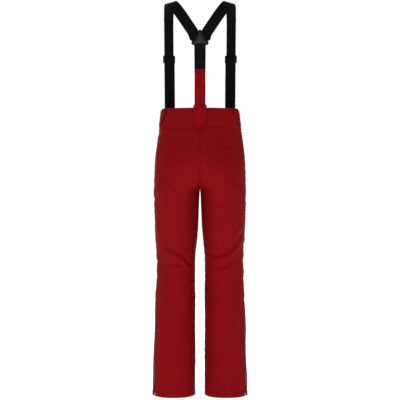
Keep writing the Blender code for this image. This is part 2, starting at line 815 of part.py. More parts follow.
def ribbon(name, points, widths, finish, thickness=STRAP_THICKNESS):
    """A flat strap along points, each with the half width that reaches its two edges."""
    rows = [[p - w, p + w] for p, w in zip(points, widths)]
    return thicken(add_object(name, grid_mesh(name, rows), finish), thickness, 0)


def mirrored(vector, side):
    return Vector((vector.x * side, vector.y, vector.z))


def build_back_strap():
    foot, join = BACK_FOOT_Z, BACK_JOIN_HEIGHT
    heights = [foot, foot + 0.030, 0.0, 0.012, 0.04, 0.08, 0.11, join]
    narrow = STRAP_WIDTH / 2 - SLEEVE_TAPER - 0.004
    widths = [narrow, narrow] + [STRAP_WIDTH / 2 - 0.0015] * 6
    points = [Vector((0, back_y(z), z)) for z in heights]
    ribbon("back_strap_cloth", points, [Vector((w, 0, 0)) for w in widths], RED)

    step = STRAP_THICKNESS + CLEARANCE
    low, top = join - JOIN_OVERLAP, yoke_point(0, -yoke_bar_drop()).z
    points = []
    widths = []
    for i in range(6):
        z = low + (top - low) * i / 5
        share = i / 5
        points.append(Vector((0, back_y(z) - step * (1 - share), z)))
        widths.append(Vector((STRAP_WIDTH / 2 - 0.0015 * (1 - share), 0, 0)))
    strap = ribbon("back_strap_elastic", points, widths, BLACK)
    strap_eye(strap, yoke_point(0, -yoke_bar_drop()), Vector((1, 0, 0)), STRAP_WIDTH)


def strap_eye(strap, centre, axis, width):
    """Sews a loop round a bar into the end of a strap."""
    bore = BAR_WIDTH / 2 * math.sqrt(2) + CLEARANCE
    turn = Vector((0, 0, 1)).rotation_difference(axis).to_matrix().to_4x4()
    place = Matrix.Translation(centre) @ turn
    eye = cylinder_mesh("eye", bore + STRAP_THICKNESS, width, (0, 0, 1))
    boolean(strap, add_object(f"{strap.name}_eye", eye, None, place), "UNION")
    bore = cylinder_mesh("bore", bore, width * 1.5, (0, 0, 1))
    boolean(strap, add_object(f"{strap.name}_bore", bore, None, place), "DIFFERENCE")


YOKE_TILT = math.atan(BACK_LEAN)
SLOT_LENGTH = STRAP_WIDTH + SLOT_ROOM
SLOT_INNER = SLOT_LENGTH / 2 * math.tan(math.radians(30)) + YOKE_WEB
YOKE_INRADIUS = SLOT_INNER + SLOT_WIDTH + BAR_WIDTH


def yoke_place():
    return Matrix.Translation((0, back_y(YOKE_HEIGHT), YOKE_HEIGHT)) @ Matrix.Rotation(YOKE_TILT, 4, "X")


def yoke_point(x, z):
    """A point of the yoke's middle plane, from its own centre."""
    return yoke_place() @ Vector((x, 0, z))


def yoke_bar_drop():
    return YOKE_INRADIUS - BAR_WIDTH / 2


def build_yoke():
    """A three-sided plate with a slot and a bar on each side, and a raised middle."""
    place = yoke_place()
    reach = YOKE_INRADIUS * 2
    corners = [
        (reach * math.sin(math.radians(a)), reach * math.cos(math.radians(a))) for a in (0, 120, 240)
    ]
    mesh = prism_mesh("yoke", rounded_outline(corners, YOKE_CORNER), (0, 1, 0), YOKE_THICKNESS)
    yoke = add_object("yoke", mesh, PLASTIC, place)
    slot_middle = SLOT_INNER + SLOT_WIDTH / 2
    for word, degrees in (("foot", 180), ("left", 60), ("right", -60)):
        size = (SLOT_LENGTH, YOKE_THICKNESS * 3, SLOT_WIDTH)
        slot = box_mesh("slot", size, (0, 0, slot_middle))
        slot.transform(Matrix.Rotation(math.radians(degrees), 4, "Y"))
        boolean(yoke, add_object(f"yoke_slot_{word}", slot, None, place), "DIFFERENCE")
    badge_reach = (SLOT_INNER - BADGE_MARGIN) * 2
    outline = [
        (badge_reach * math.sin(math.radians(a)), 0, badge_reach * math.cos(math.radians(a)))
        for a in (0, 120, 240)
    ]
    thick = YOKE_BADGE + YOKE_THICKNESS / 2
    badge = prism_mesh("badge", outline, (0, 1, 0), thick)
    badge.transform(Matrix.Translation((0, thick / 2, 0)))
    boolean(yoke, add_object("yoke_badge", badge, None, place), "UNION")


# The shoulder strap's middle line past the yoke, then over the shoulder to the front.
SHOULDER_ROUTE = (
    (0.0250, 0.1000, 0.2730),
    (0.0390, 0.0965, 0.2950),
    (0.0575, 0.0880, 0.3230),
    (0.0735, 0.0750, 0.3470),
    (0.0885, 0.0570, 0.3680),
    (0.1005, 0.0350, 0.3830),
    (0.1085, 0.0060, 0.3920),
    (0.1130, -0.0290, 0.3870),
    (0.1155, -0.0590, 0.3690),
)
DIAGONAL_ACROSS = Vector((0.829, 0.0, -0.559))
SHOULDER_ACROSS = Vector((0.904, 0.0, -0.427))
FRONT_ACROSS = Vector((math.cos(FRONT_YAW), math.sin(FRONT_YAW), 0.0))


def build_shoulder_straps():
    bar = Vector((math.sin(math.radians(60)), 0, math.cos(math.radians(60)))) * yoke_bar_drop()
    along_bar = Vector((math.cos(math.radians(60)), 0, -math.sin(math.radians(60))))
    start = yoke_place() @ bar
    across_bar = (yoke_place().to_3x3() @ along_bar).normalized()
    points = [start] + [Vector(p) for p in SHOULDER_ROUTE]
    lie = [across_bar] + [DIAGONAL_ACROSS] * 4 + [
        DIAGONAL_ACROSS.lerp(SHOULDER_ACROSS, 0.5),
        SHOULDER_ACROSS,
        SHOULDER_ACROSS.lerp(FRONT_ACROSS, 0.35),
        SHOULDER_ACROSS.lerp(FRONT_ACROSS, 0.75),
        FRONT_ACROSS,
    ]
    for k in range(7):
        z = 0.335 + (STRAP_RISE_FROM - 0.335) * k / 6
        points.append(front_strap(z))
        lie.append(FRONT_ACROSS)
    # The strap turns round the ring's upper bar, level with the bar's middle.
    for degrees in (20, 45, 70, 86):
        points.append(round_ring_bar(degrees))
        lie.append(FRONT_ACROSS)
    for word, side in SIDES:
        route = [mirrored(p, side) for p in points]
        widths = [mirrored(w.normalized() * (STRAP_WIDTH / 2), side) for w in lie]
        strap = ribbon(f"{word}_shoulder_strap", route, widths, BLACK)
        axis = mirrored(across_bar, side)
        strap_eye(strap, mirrored(start, side), axis, STRAP_WIDTH)


def round_ring_bar(degrees):
    """The strap's middle line as it turns round the ring's upper bar."""
    swing = math.radians(degrees)
    bar = Vector((FRONT_FOOT.x, FRONT_FOOT.y, STRAP_RISE_FROM))
    drop = Vector((0, 0, -math.sin(swing) * RING_LOOP))
    return bar + FRONT_OUT * (math.cos(swing) * RING_LOOP) + drop


def strap_rise():
    """The direction a left front strap runs in, upwards."""
    return (Vector((0, 0, 1)) + FRONT_OUT * FRONT_LEAN).normalized()


def build_front_fittings():
    for word, side in SIDES:
        build_adjuster(word, side)
        build_return(word, side)
        build_ring_and_tab(word, side)


ADJUSTER_ROOM = STRAP_WIDTH + 2 * CLEARANCE
FRONT_BAR = 0.0018
REAR_BAR = 0.0020
BAR_SHARE = 0.2
RAIL_LIP = 0.0003
BAR_ROOT = 0.0012


def adjuster_frame(side):
    along = mirrored(strap_rise(), side)
    outward = mirrored(FRONT_OUT, side)
    return frame_at(mirrored(front_strap(ADJUSTER_HEIGHT), side), along, outward)


def build_adjuster(word, side):
    """A three-bar slide: two rails, two front bars and, behind the strap, a middle bar."""
    place = adjuster_frame(side)
    outer = ADJUSTER_ROOM + 2 * ADJUSTER_RAIL
    front = STRAP_THICKNESS / 2 + CLEARANCE + FRONT_BAR / 2
    rear = -2 * RING_LOOP + STRAP_THICKNESS / 2 + CLEARANCE + REAR_BAR / 2
    high, low = front + FRONT_BAR / 2 + RAIL_LIP, rear - REAR_BAR / 2 - RAIL_LIP
    half = ADJUSTER_LENGTH / 2
    corners = [(-outer / 2, -half), (-outer / 2, half), (outer / 2, half), (outer / 2, -half)]
    mesh = prism_mesh(
        "rails", rounded_outline(corners, ADJUSTER_CORNER), (0, 1, 0), high - low
    )
    mesh.transform(Matrix.Rotation(math.radians(90), 4, "X"))
    mesh.transform(Matrix.Translation((0, 0, (high + low) / 2)))
    obj = add_object(f"{word}_adjuster", mesh, PLASTIC, place)
    middle = box_mesh("middle", (ADJUSTER_ROOM, ADJUSTER_LENGTH * 2, (high - low) * 3))
    boolean(obj, add_object(f"{word}_adjuster_middle", middle, None, place), "DIFFERENCE")
    bar = ADJUSTER_LENGTH * BAR_SHARE
    wide = ADJUSTER_ROOM + 2 * BAR_ROOT
    end = half - RAIL_LIP - bar / 2
    for name, size, centre in (
        ("low", (wide, bar, FRONT_BAR), (0, -end, front)),
        ("high", (wide, bar, FRONT_BAR), (0, end, front)),
        ("rear", (wide, bar, REAR_BAR), (0, 0, rear)),
    ):
        shape = box_mesh("bar", size, centre)
        boolean(obj, add_object(f"{word}_adjuster_{name}", shape, None, place), "UNION")


def build_return(word, side):
    """The strap's tail, from under the ring's bar up to the slide's middle bar."""
    points = [round_ring_bar(degrees) for degrees in (98, 120, 145, 170)]
    back = FRONT_OUT * (2 * RING_LOOP + REAR_BAR / 2)
    top = ADJUSTER_HEIGHT
    for k in range(1, 5):
        z = STRAP_RISE_FROM + (top - STRAP_RISE_FROM) * k / 5
        points.append(front_strap(z) - back)
    # Round the middle bar and on to its top edge.
    along = strap_rise()
    bar_middle = front_strap(top) - FRONT_OUT * (
        2 * RING_LOOP - STRAP_THICKNESS / 2 - CLEARANCE - REAR_BAR / 2
    )
    wrap = REAR_BAR / 2 + CLEARANCE + STRAP_THICKNESS / 2
    half_bar = ADJUSTER_LENGTH * BAR_SHARE / 2
    points.append(bar_middle - FRONT_OUT * wrap)
    for degrees in (0, 45, 90):
        swing = math.radians(degrees)
        lift = along * (half_bar - wrap * 0.3 + math.sin(swing) * wrap)
        points.append(bar_middle + lift - FRONT_OUT * (math.cos(swing) * wrap))
    route = [mirrored(p, side) for p in points]
    width = mirrored(FRONT_ACROSS * (STRAP_WIDTH / 2), side)
    ribbon(f"{word}_strap_return", route, [width] * len(route), BLACK)


def build_ring_and_tab(word, side):
    outward = mirrored(FRONT_OUT, side)
    up = Vector((0, 0, 1))
    middle_z = RING_TOP - RING_HEIGHT / 2
    centre = mirrored(Vector((FRONT_FOOT.x, FRONT_FOOT.y, middle_z)), side)
    place = frame_at(centre, up, outward)
    inner = STRAP_WIDTH + 2 * CLEARANCE
    outer = inner + 2 * RING_BAR
    corners = [
        (-outer / 2, -RING_HEIGHT / 2), (-outer / 2, RING_HEIGHT / 2),
        (outer / 2, RING_HEIGHT / 2), (outer / 2, -RING_HEIGHT / 2),
    ]
    mesh = prism_mesh("ring", rounded_outline(corners, 0.003), (0, 1, 0), RING_BAR)
    mesh.transform(Matrix.Rotation(math.radians(90), 4, "X"))
    ring = add_object(f"{word}_ring", mesh, PLASTIC, place)
    hole = box_mesh("hole", (inner, RING_HEIGHT - 2 * RING_BAR, RING_BAR * 3))
    boolean(ring, add_object(f"{word}_ring_hole", hole, None, place), "DIFFERENCE")

    # The tab: two layers sewn together, with an eye round the ring's lower bar.
    bar_drop = RING_HEIGHT / 2 - RING_BAR / 2
    bore = RING_BAR * 0.5 * math.sqrt(2) + CLEARANCE
    width = STRAP_WIDTH - 2 * SLEEVE_TAPER
    slab = box_mesh(
        "slab", (width, TAB_LENGTH, 2 * STRAP_THICKNESS), (0, -bar_drop - TAB_LENGTH / 2, 0)
    )
    tab = add_object(f"{word}_front_tab", slab, RED, place)
    eye = cylinder_mesh("eye", bore + STRAP_THICKNESS, width, (1, 0, 0), (0, -bar_drop, 0))
    boolean(tab, add_object(f"{word}_tab_eye", eye, None, place), "UNION")
    hole = cylinder_mesh("bore", bore, width * 1.5, (1, 0, 0), (0, -bar_drop, 0))
    boolean(tab, add_object(f"{word}_tab_bore", hole, None, place), "DIFFERENCE")


# ---------------------------------------------------------------- sleeves

def sleeve(name, across, outward, face, wall, top, foot, wide_top, wide_foot, side):
    """A sleeve open at the top, standing off the waistband, with its edges turned in.

    face gives the outer plate's middle at a height, wall how far back its edges reach.
    """
    rows = []
    for z, wide in ((foot, wide_foot), ((foot + top) / 2, (wide_foot + wide_top) / 2), (top, wide_top)):
        row = []
        for share, back in ((-1, 1), (-1, 0), (-0.4, 0), (0.4, 0), (1, 0), (1, 1)):
            point = face(z) + across * (share * wide / 2)
            row.append(point - outward * (back * wall(point, share)))
        rows.append(row)
    mesh = grid_mesh(name, [[mirrored(p, side) for p in row] for row in rows], flip=side == RIGHT)
    return thicken(add_object(name, mesh, RED), SLEEVE_THICKNESS, 1)


def gap_to_waist(point, outward, top_z=-0.004):
    """How far a point is from the waistband, straight back along outward."""
    z = min(point.z, top_z)
    half, depth = OUTER(z), (BACK if point.y > 0 else FRONT)(z)
    distance = 0.0
    step = 0.0001
    here = point.copy()
    while (here.x / half) ** 2 + (here.y / depth) ** 2 > 1 and distance < 0.03:
        here -= outward * step
        distance += step
    return distance


def build_sleeves():
    room = CLEARANCE + SLEEVE_ROOM
    back_out = Vector((0, 1, 0))
    back_face = BACK_END_Y + STRAP_THICKNESS / 2 + room
    wide = STRAP_WIDTH + 2 * CLEARANCE
    sleeve(
        "back_sleeve", Vector((-1, 0, 0)), back_out,
        lambda z: Vector((0, back_face, z)),
        lambda p, share: gap_to_waist(p, back_out) - SEAM_GAP,
        BACK_SLEEVE_RISE, SEAM_Z + 0.002, wide, wide - 2 * SLEEVE_TAPER + 0.002, LEFT,
    )
    face = Vector((FRONT_FOOT.x, FRONT_FOOT.y, 0)) + FRONT_OUT * (STRAP_THICKNESS + room)
    low = RING_TOP - RING_HEIGHT - 0.008
    width = STRAP_WIDTH - 2 * SLEEVE_TAPER + 4 * CLEARANCE
    for word, side in SIDES:
        sleeve(
            f"{word}_front_sleeve", FRONT_ACROSS, FRONT_OUT,
            lambda z: Vector((face.x, face.y, z)),
            lambda p, share: gap_to_waist(p, FRONT_OUT, -0.022) - SEAM_GAP,
            low, SEAM_Z + 0.001, width, width, side,
        )


def main():
    clear_scene()
    build_leg_panels()
    build_waistbands()
    build_side_tabs()
    build_zips()
    build_inner_pieces()
    build_closure()
    build_back_strap()
    build_yoke()
    build_shoulder_straps()
    build_front_fittings()
    build_sleeves()


main()
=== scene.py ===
"""Ski trousers with removable elastic braces: the sewn and moulded surfaces over the solids.

Metres, +Z up, +X the wearer's left, -Y the wearer's front, origin in the waist opening.
Angles round a leg start at the outer side: +90 degrees is the back, -90 the front.
"""

import math

import bmesh
import bpy
import numpy as np
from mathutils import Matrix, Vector


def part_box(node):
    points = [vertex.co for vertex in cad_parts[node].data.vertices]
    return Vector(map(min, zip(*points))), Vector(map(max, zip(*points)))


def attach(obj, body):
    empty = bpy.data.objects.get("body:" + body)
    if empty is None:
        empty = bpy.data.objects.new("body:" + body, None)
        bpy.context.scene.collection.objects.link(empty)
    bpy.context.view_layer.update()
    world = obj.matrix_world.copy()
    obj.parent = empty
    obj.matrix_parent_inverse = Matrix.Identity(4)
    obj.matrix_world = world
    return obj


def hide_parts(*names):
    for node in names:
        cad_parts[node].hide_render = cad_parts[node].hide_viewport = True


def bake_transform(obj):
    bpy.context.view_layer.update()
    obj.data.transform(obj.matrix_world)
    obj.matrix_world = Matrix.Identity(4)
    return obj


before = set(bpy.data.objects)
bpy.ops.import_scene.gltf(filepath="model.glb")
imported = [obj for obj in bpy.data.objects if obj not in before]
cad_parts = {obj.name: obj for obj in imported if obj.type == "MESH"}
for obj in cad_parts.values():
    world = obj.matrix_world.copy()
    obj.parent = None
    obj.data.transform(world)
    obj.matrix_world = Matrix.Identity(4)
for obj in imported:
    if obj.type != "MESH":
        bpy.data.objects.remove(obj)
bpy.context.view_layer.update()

# ---------------------------------------------------------------- sizes shared with the part

HEM_Z, CALF_Z, KNEE_Z, THIGH_Z, CROTCH_Z, SEAT_Z, SEAM_Z = (
    -1.054, -0.760, -0.559, -0.430, -0.294, -0.200, -0.070
)
# Height, outer half width, front depth and back depth at each station.
STATIONS = np.array([
    (HEM_Z, 0.1757, 0.082, 0.088),
    (CALF_Z, 0.168, 0.080, 0.086),
    (KNEE_Z, 0.159, 0.080, 0.082),
    (THIGH_Z, 0.1665, 0.096, 0.104),
    (CROTCH_Z, 0.1685, 0.106, 0.122),
    (SEAT_Z, 0.1665, 0.110, 0.138),
    (SEAM_Z, 0.150, 0.104, 0.118),
    (0.0, 0.141, 0.101, 0.114),
])
LEG_GAPS = np.array([(HEM_Z, 0.0175), (KNEE_Z, 0.018), (THIGH_Z, 0.007), (CROTCH_Z, 0.0)])
CROTCH_ROUNDING = 2.2
CROTCH_EASE = 0.0010
SEAM_LAP = 0.0006
CROTCH_REACH = 0.036
FRONT_DROP = 0.025
SEAM_GAP = 0.0005
ZIP_SLIT = 0.0037
SLIT_TAPER = 0.004
ANKLE_ZIP_ANGLE = math.radians(27)
ANKLE_ZIP_LENGTH = 0.270
ANKLE_ZIP_BASE = 0.024
ZIP_TOP_Z = HEM_Z + ANKLE_ZIP_BASE + ANKLE_ZIP_LENGTH
SWING_TOP_Z = KNEE_Z + 0.088
FLY_FOOT_Z = CROTCH_Z + 0.084
FLY_TOP_Z = SEAM_Z - 0.0025
POCKET_LENGTH = 0.140
POCKET_TOP_Z = SEAM_Z - 0.010
POCKET_ANGLES = (math.radians(-38), math.radians(-53))
CLOTH = 0.0026
SIDES = (("left", 1), ("right", -1))
X, Y, Z = np.eye(3)


# ---------------------------------------------------------------- curves of the garment

def smooth_curve(heights, values, z):
    """A cubic through the stations whose slope at each is the harmonic mean of the two
    straight slopes beside it, so it never overshoots."""
    steps = np.diff(heights)
    slopes = np.diff(values) / steps
    before, after = slopes[:-1], slopes[1:]
    same = before * after > 0
    inner = np.where(same, 2 * before * after / np.where(same, before + after, 1), 0)
    tangents = np.concatenate(([slopes[0]], inner, [slopes[-1]]))
    i = np.clip(np.searchsorted(heights, z) - 1, 0, len(steps) - 1)
    t = (z - heights[i]) / steps[i]
    lean = steps[i] * (tangents[i] * t * (1 - t) ** 2 - tangents[i + 1] * t * t * (1 - t))
    return values[i] + (values[i + 1] - values[i]) * t * t * (3 - 2 * t) + lean


def section(z):
    """The leg's ellipse at heights z: middle in X, half width, front depth, back depth."""
    z = np.asarray(z, float)
    outer, front, back = (smooth_curve(STATIONS[:, 0], STATIONS[:, k], z) for k in (1, 2, 3))
    gap = smooth_curve(LEG_GAPS[:, 0], LEG_GAPS[:, 1], np.minimum(z, CROTCH_Z))
    gap = gap + CROTCH_EASE * ramp(CROTCH_Z - z, 0, 0.020) * ramp(z, THIGH_Z, CROTCH_Z - 0.030)
    share = np.clip((z - CROTCH_Z) / (SEAM_Z - CROTCH_Z), 0, 1)
    middle = np.where(z <= CROTCH_Z, (outer + gap) / 2, outer / 2 * (1 - share) ** CROTCH_ROUNDING)
    return middle, outer - middle, front, back


def cloth_at(z, angle, proud=0.0, side=1):
    """Points of the cloth's outer face: middle + half cos(angle), depth sin(angle), z."""
    z, angle = np.broadcast_arrays(np.asarray(z, float), np.asarray(angle, float))
    middle, half, front, back = section(z)
    depth = np.where(angle > 0, back, front) + proud
    return np.stack(
        [side * (middle + (half + proud) * np.cos(angle)), depth * np.sin(angle), z], axis=-1
    )


def eased_at_crotch(grid, angle, side):
    """Rounds the cloth over the height where the two legs join.

    A point's depth becomes the mean, with weights 1 2 3 4 3 2 1, of the ellipses' depths at
    the same X and at seven heights round its own. It fades out past CROTCH_REACH and
    towards the leg's inner and outer sides.
    """
    x, z = grid[..., 0] * side, grid[..., 2]
    total = np.zeros_like(x)
    for k in range(-3, 4):
        middle, half, front, back = section(z + k * CROTCH_REACH / 6)
        level = np.sqrt(np.clip(1 - ((x - middle) / half) ** 2, 0, 1))
        total += (4 - abs(k)) / 16 * np.where(angle > 0, back, -front) * level
    near = 1 - ramp(np.abs(z - CROTCH_Z), 0.4 * CROTCH_REACH, 1.4 * CROTCH_REACH)
    near *= ramp(x, 0.022, 0.048) * (1 - ramp(x, 0.138, 0.156))
    grid[..., 1] += near * (total - grid[..., 1])
    return grid


def angle_at_x(z, x):
    middle, half, _, _ = section(z)
    return np.arccos(np.clip((x - middle) / half, -1, 1))


def ramp(value, low, high):
    """0 below low, 1 above high, and a smooth step between."""
    t = np.clip((value - low) / (high - low), 0, 1)
    return t * t * (3 - 2 * t)


def unit(v):
    return v / np.maximum(np.linalg.norm(v, axis=-1, keepdims=True), 1e-12)


def mirrored(points, side):
    return np.asarray(points, float) * np.array([side, 1.0, 1.0])


def through(points, count, closed=False):
    """A Catmull-Rom curve through the points, then spaced evenly along its length."""
    points = np.asarray(points, float)
    if closed:
        padded = np.vstack([points[-1], points, points[0], points[1]])
    else:
        padded = np.vstack([2 * points[0] - points[1], points, 2 * points[-1] - points[-2]])
    spans = len(padded) - 3
    t = np.linspace(0, spans, spans * 24 + 1)
    i = np.minimum(t.astype(int), spans - 1)
    f = (t - i)[:, None]
    a, b, c, d = padded[i], padded[i + 1], padded[i + 2], padded[i + 3]
    fine = 0.5 * (2 * b + (c - a) * f + (2 * a - 5 * b + 4 * c - d) * f**2
                  + (3 * b - a - 3 * c + d) * f**3)
    run = np.concatenate(([0], np.cumsum(np.linalg.norm(np.diff(fine[:, :3], axis=0), axis=1))))
    even = np.linspace(0, run[-1], count)
    return np.stack([np.interp(even, run, fine[:, k]) for k in range(fine.shape[1])], axis=-1)


# ---------------------------------------------------------------- meshes

def grid_quads(rows, columns, round_columns=False, round_rows=False):
    """Corner numbers of the quads of a grid of rows and columns."""
    r, c = np.meshgrid(np.arange(rows if round_rows else rows - 1),
                       np.arange(columns if round_columns else columns - 1), indexing="ij")
    e, d = (r + 1) % rows, (c + 1) % columns
    corners = [r * columns + c, r * columns + d, e * columns + d, e * columns + c]
    return np.stack(corners, axis=-1).reshape(-1, 4)


def vertex_normals(points, quads):
    a, b, c, d = (points[quads[:, k]] for k in range(4))
    across = np.cross(c - a, d - b)
    total = np.zeros_like(points)
    for k in range(4):
        np.add.at(total, quads[:, k], across)
    return unit(total)


def piece(name, points, faces, finishes, corner_maps=None, finish_of=None, sharp=None):
    """A mesh object at the origin. A corner that repeats in a quad makes a triangle.

    corner_maps holds UV maps in metres, one pair for each corner of each quad.
    """
    used, index = np.unique(faces, return_inverse=True)
    index = index.reshape(faces.shape)
    keep = index != np.roll(index, 1, axis=1)
    loops = index[keep]
    sizes = keep.sum(axis=1)
    mesh = bpy.data.meshes.new(name)
    mesh.vertices.add(len(used))
    mesh.vertices.foreach_set("co", points[used].astype(np.float32).ravel())
    mesh.loops.add(len(loops))
    mesh.loops.foreach_set("vertex_index", loops.astype(np.int32))
    mesh.polygons.add(len(sizes))
    mesh.polygons.foreach_set("loop_start", (np.cumsum(sizes) - sizes).astype(np.int32))
    mesh.update(calc_edges=True)
    for map_name, pairs in (corner_maps or {}).items():
        layer = mesh.uv_layers.new(name=map_name)
        layer.data.foreach_set("uv", pairs.reshape(-1, 2)[keep.ravel()].astype(np.float32).ravel())
    for finish in finishes:
        mesh.materials.append(finish)
    if finish_of is not None:
        mesh.polygons.foreach_set("material_index", finish_of.astype(np.int32))
    mesh.polygons.foreach_set("use_smooth", np.full(len(mesh.polygons), True))
    if sharp:
        mesh.set_sharp_from_angle(angle=math.radians(sharp))
    mesh.validate()
    obj = bpy.data.objects.new(name, mesh)
    bpy.context.scene.collection.objects.link(obj)
    return obj


def thick_cloth(name, points, quads, maps, thickness, finishes, weld=None):
    """Gives a sheet a wall and round edges.

    The inner face is the outer one moved in along its normals by the thickness. Along each
    open edge a middle row stands out sideways by half the thickness, so the edge is round.
    weld says which vertex each grid point belongs to. finishes is (outside, inside).
    """
    tied = quads if weld is None else weld[quads]
    normal = vertex_normals(points, tied)
    size = len(points)
    a, b = tied.ravel(), np.roll(tied, -1, axis=1).ravel()
    ga, gb = quads.ravel(), np.roll(quads, -1, axis=1).ravel()
    key = np.minimum(a, b) * np.int64(size) + np.maximum(a, b)
    _, first, count = np.unique(key, return_index=True, return_counts=True)
    rim = first[count == 1]
    a, b, ga, gb = a[rim], b[rim], ga[rim], gb[rim]
    out = np.zeros_like(points)
    push = unit(np.cross(points[b] - points[a], normal[a]))
    np.add.at(out, a, push)
    np.add.at(out, b, push)
    middle = points - normal * thickness / 2 + unit(out) * thickness / 2
    everything = np.concatenate([points, points - normal * thickness, middle])
    near = np.stack([b, a, a + 2 * size, b + 2 * size], axis=-1)
    far = np.stack([b + 2 * size, a + 2 * size, a + size, b + size], axis=-1)
    rim_pairs = np.stack([gb, ga, ga, gb], axis=-1)
    corners = np.concatenate([quads, quads[:, ::-1], rim_pairs, rim_pairs])
    faces = np.concatenate([tied, tied[:, ::-1] + size, near, far])
    inside = np.zeros(len(faces))
    inside[len(tied):2 * len(tied)] = len(finishes) - 1
    corner_maps = {word: pairs[corners] for word, pairs in maps.items()}
    obj = piece(name, everything, faces, finishes, corner_maps, inside)
    return obj


def cloth_sheet(name, grid, thickness, finishes, outward, closed=False):
    """A thick piece of cloth over a grid of points (rows, columns, 3).

    Map "cloth" is the distance along the row and up the column. Map "edges" is how far the
    nearest side edge and the nearest end edge are. outward is a rough outward direction at
    the middle of the grid. A closed sheet's last column repeats its first.
    """
    rows, columns = grid.shape[:2]
    u = np.zeros((rows, columns))
    v = np.zeros((rows, columns))
    u[:, 1:] = np.cumsum(np.linalg.norm(np.diff(grid, axis=1), axis=2), axis=1)
    v[1:] = np.cumsum(np.linalg.norm(np.diff(grid, axis=0), axis=2), axis=0)
    maps = {
        "cloth": np.stack([u, v], axis=-1).reshape(-1, 2),
        "edges": np.stack([np.minimum(u, u[:, -1:] - u), np.minimum(v, v[-1:] - v)],
                          axis=-1).reshape(-1, 2),
    }
    quads = grid_quads(rows, columns)
    points = grid.reshape(-1, 3)
    normal = vertex_normals(points, quads)
    middle = (rows // 2) * columns + columns // 2
    if normal[middle] @ np.asarray(outward, float) < 0:
        quads = quads[:, ::-1]
    weld = None
    if closed:
        weld = np.arange(len(points))
        weld[columns - 1::columns] = weld[::columns]
    return thick_cloth(name, points, quads, maps, thickness, finishes, weld)


def box_loop(half_width, half_depth, edge, across_steps=10, corner_steps=4):
    """A closed outline with round corners, anticlockwise, starting at its lower right."""
    points = []
    for cx, cy, start in ((1, -1, -90), (1, 1, 0), (-1, 1, 90), (-1, -1, 180)):
        turn = np.radians(start + np.linspace(0, 90, corner_steps + 1))
        points.append(np.stack([cx * (half_width - edge) + edge * np.cos(turn),
                                cy * (half_depth - edge) + edge * np.sin(turn)], axis=-1))
        if cx * cy > 0 and across_steps:
            along = np.linspace(cx, -cx, across_steps + 2)[1:-1, None] * (half_width - edge)
            points.append(np.concatenate([along, np.full_like(along, cy * half_depth)], axis=-1))
    return np.concatenate(points)


def oval_loop(half_width, half_depth, steps=16, power=1.0):
    """A closed outline: the half sizes times the signed powers of cosine and sine."""
    turn = np.linspace(0, 2 * np.pi, steps, endpoint=False)
    c, s = np.cos(turn), np.sin(turn)
    return np.stack([half_width * np.sign(c) * np.abs(c) ** power,
                     half_depth * np.sign(s) * np.abs(s) ** power], axis=-1)


def end_quads(columns):
    """Closes a loop of an even number of corners with strips from one side to the other."""
    k = np.arange(columns // 2 - 1)
    return np.stack([k, k + 1, columns - 2 - k, columns - 1 - k], axis=-1)


def swept(path, across, outline, closed=False):
    """An outline carried along a path.

    Row s, corner k is path(s) + across(s) outline_x(k) + outward(s) outline_y(k), where
    outward is across turned square to the path. outline may have one loop for each row.
    The map is (distance across, distance along).
    """
    path = np.asarray(path, float)
    if closed:
        tangent = unit(np.roll(path, -1, axis=0) - np.roll(path, 1, axis=0))
    else:
        tangent = unit(np.gradient(path, axis=0))
    across = np.broadcast_to(np.asarray(across, float), path.shape)
    across = unit(across - tangent * np.sum(across * tangent, axis=1, keepdims=True))
    outward = np.cross(across, tangent)
    loops = np.broadcast_to(outline, (len(path),) + outline.shape[-2:])
    grid = path[:, None] + across[:, None] * loops[..., :1] + outward[:, None] * loops[..., 1:]
    rows, columns = grid.shape[:2]
    run = np.concatenate(([0], np.cumsum(np.linalg.norm(np.diff(path, axis=0), axis=1))))
    pairs = np.stack([loops[..., 0], np.broadcast_to(run[:, None], (rows, columns))], axis=-1)
    quads = grid_quads(rows, columns, round_columns=True, round_rows=closed)
    if not closed:
        cap = end_quads(columns)
        quads = np.concatenate([quads, cap[:, ::-1], cap + (rows - 1) * columns])
    return outside_out(grid.reshape(-1, 3), quads, pairs.reshape(-1, 2))


def outside_out(points, quads, pairs):
    """Turns a closed shape's faces round if they enclose a negative volume."""
    a, b, c, d = (points[quads[:, k]] for k in range(4))
    volume = np.sum(np.cross(a, b) * c) + np.sum(np.cross(a, c) * d)
    return points, quads[:, ::-1] if volume < 0 else quads, pairs


def moulded(name, shapes, finishes, finish_of=None, sharp=50):
    """One piece of several closed shapes, each (points, quads, pairs)."""
    points, quads, pairs, which, start = [], [], [], [], 0
    for k, (p, q, m) in enumerate(shapes):
        points.append(p)
        quads.append(q + start)
        pairs.append(m)
        which.append(np.full(len(q), finish_of[k] if finish_of else 0))
        start += len(p)
    quads, pairs = np.concatenate(quads), np.concatenate(pairs)
    maps = {"cloth": pairs[quads]}
    return piece(name, np.concatenate(points), quads, finishes, maps, np.concatenate(which), sharp)


def placed(shape, origin, across, along, outward):
    """Moves a shape from local (across, along, outward) axes to an origin."""
    points, quads, pairs = shape
    return outside_out(np.asarray(origin) + points @ np.stack([across, along, outward]), quads, pairs)


def rounded_block(half, power=0.5, rows=12, columns=20):
    """A block with soft corners: half sizes times the signed powers of the cosines and
    sines of a latitude and a longitude."""
    lat = np.linspace(-np.pi / 2, np.pi / 2, rows)[:, None]
    lon = np.linspace(0, 2 * np.pi, columns, endpoint=False)[None]

    def raised(v):
        return np.sign(v) * np.abs(v) ** power

    ring = raised(np.maximum(np.cos(lat), 0))
    level = np.broadcast_to(raised(np.sin(lat)), (rows, columns))
    grid = np.stack([ring * raised(np.cos(lon)), ring * raised(np.sin(lon)), level], axis=-1)
    return poled(grid * np.asarray(half))


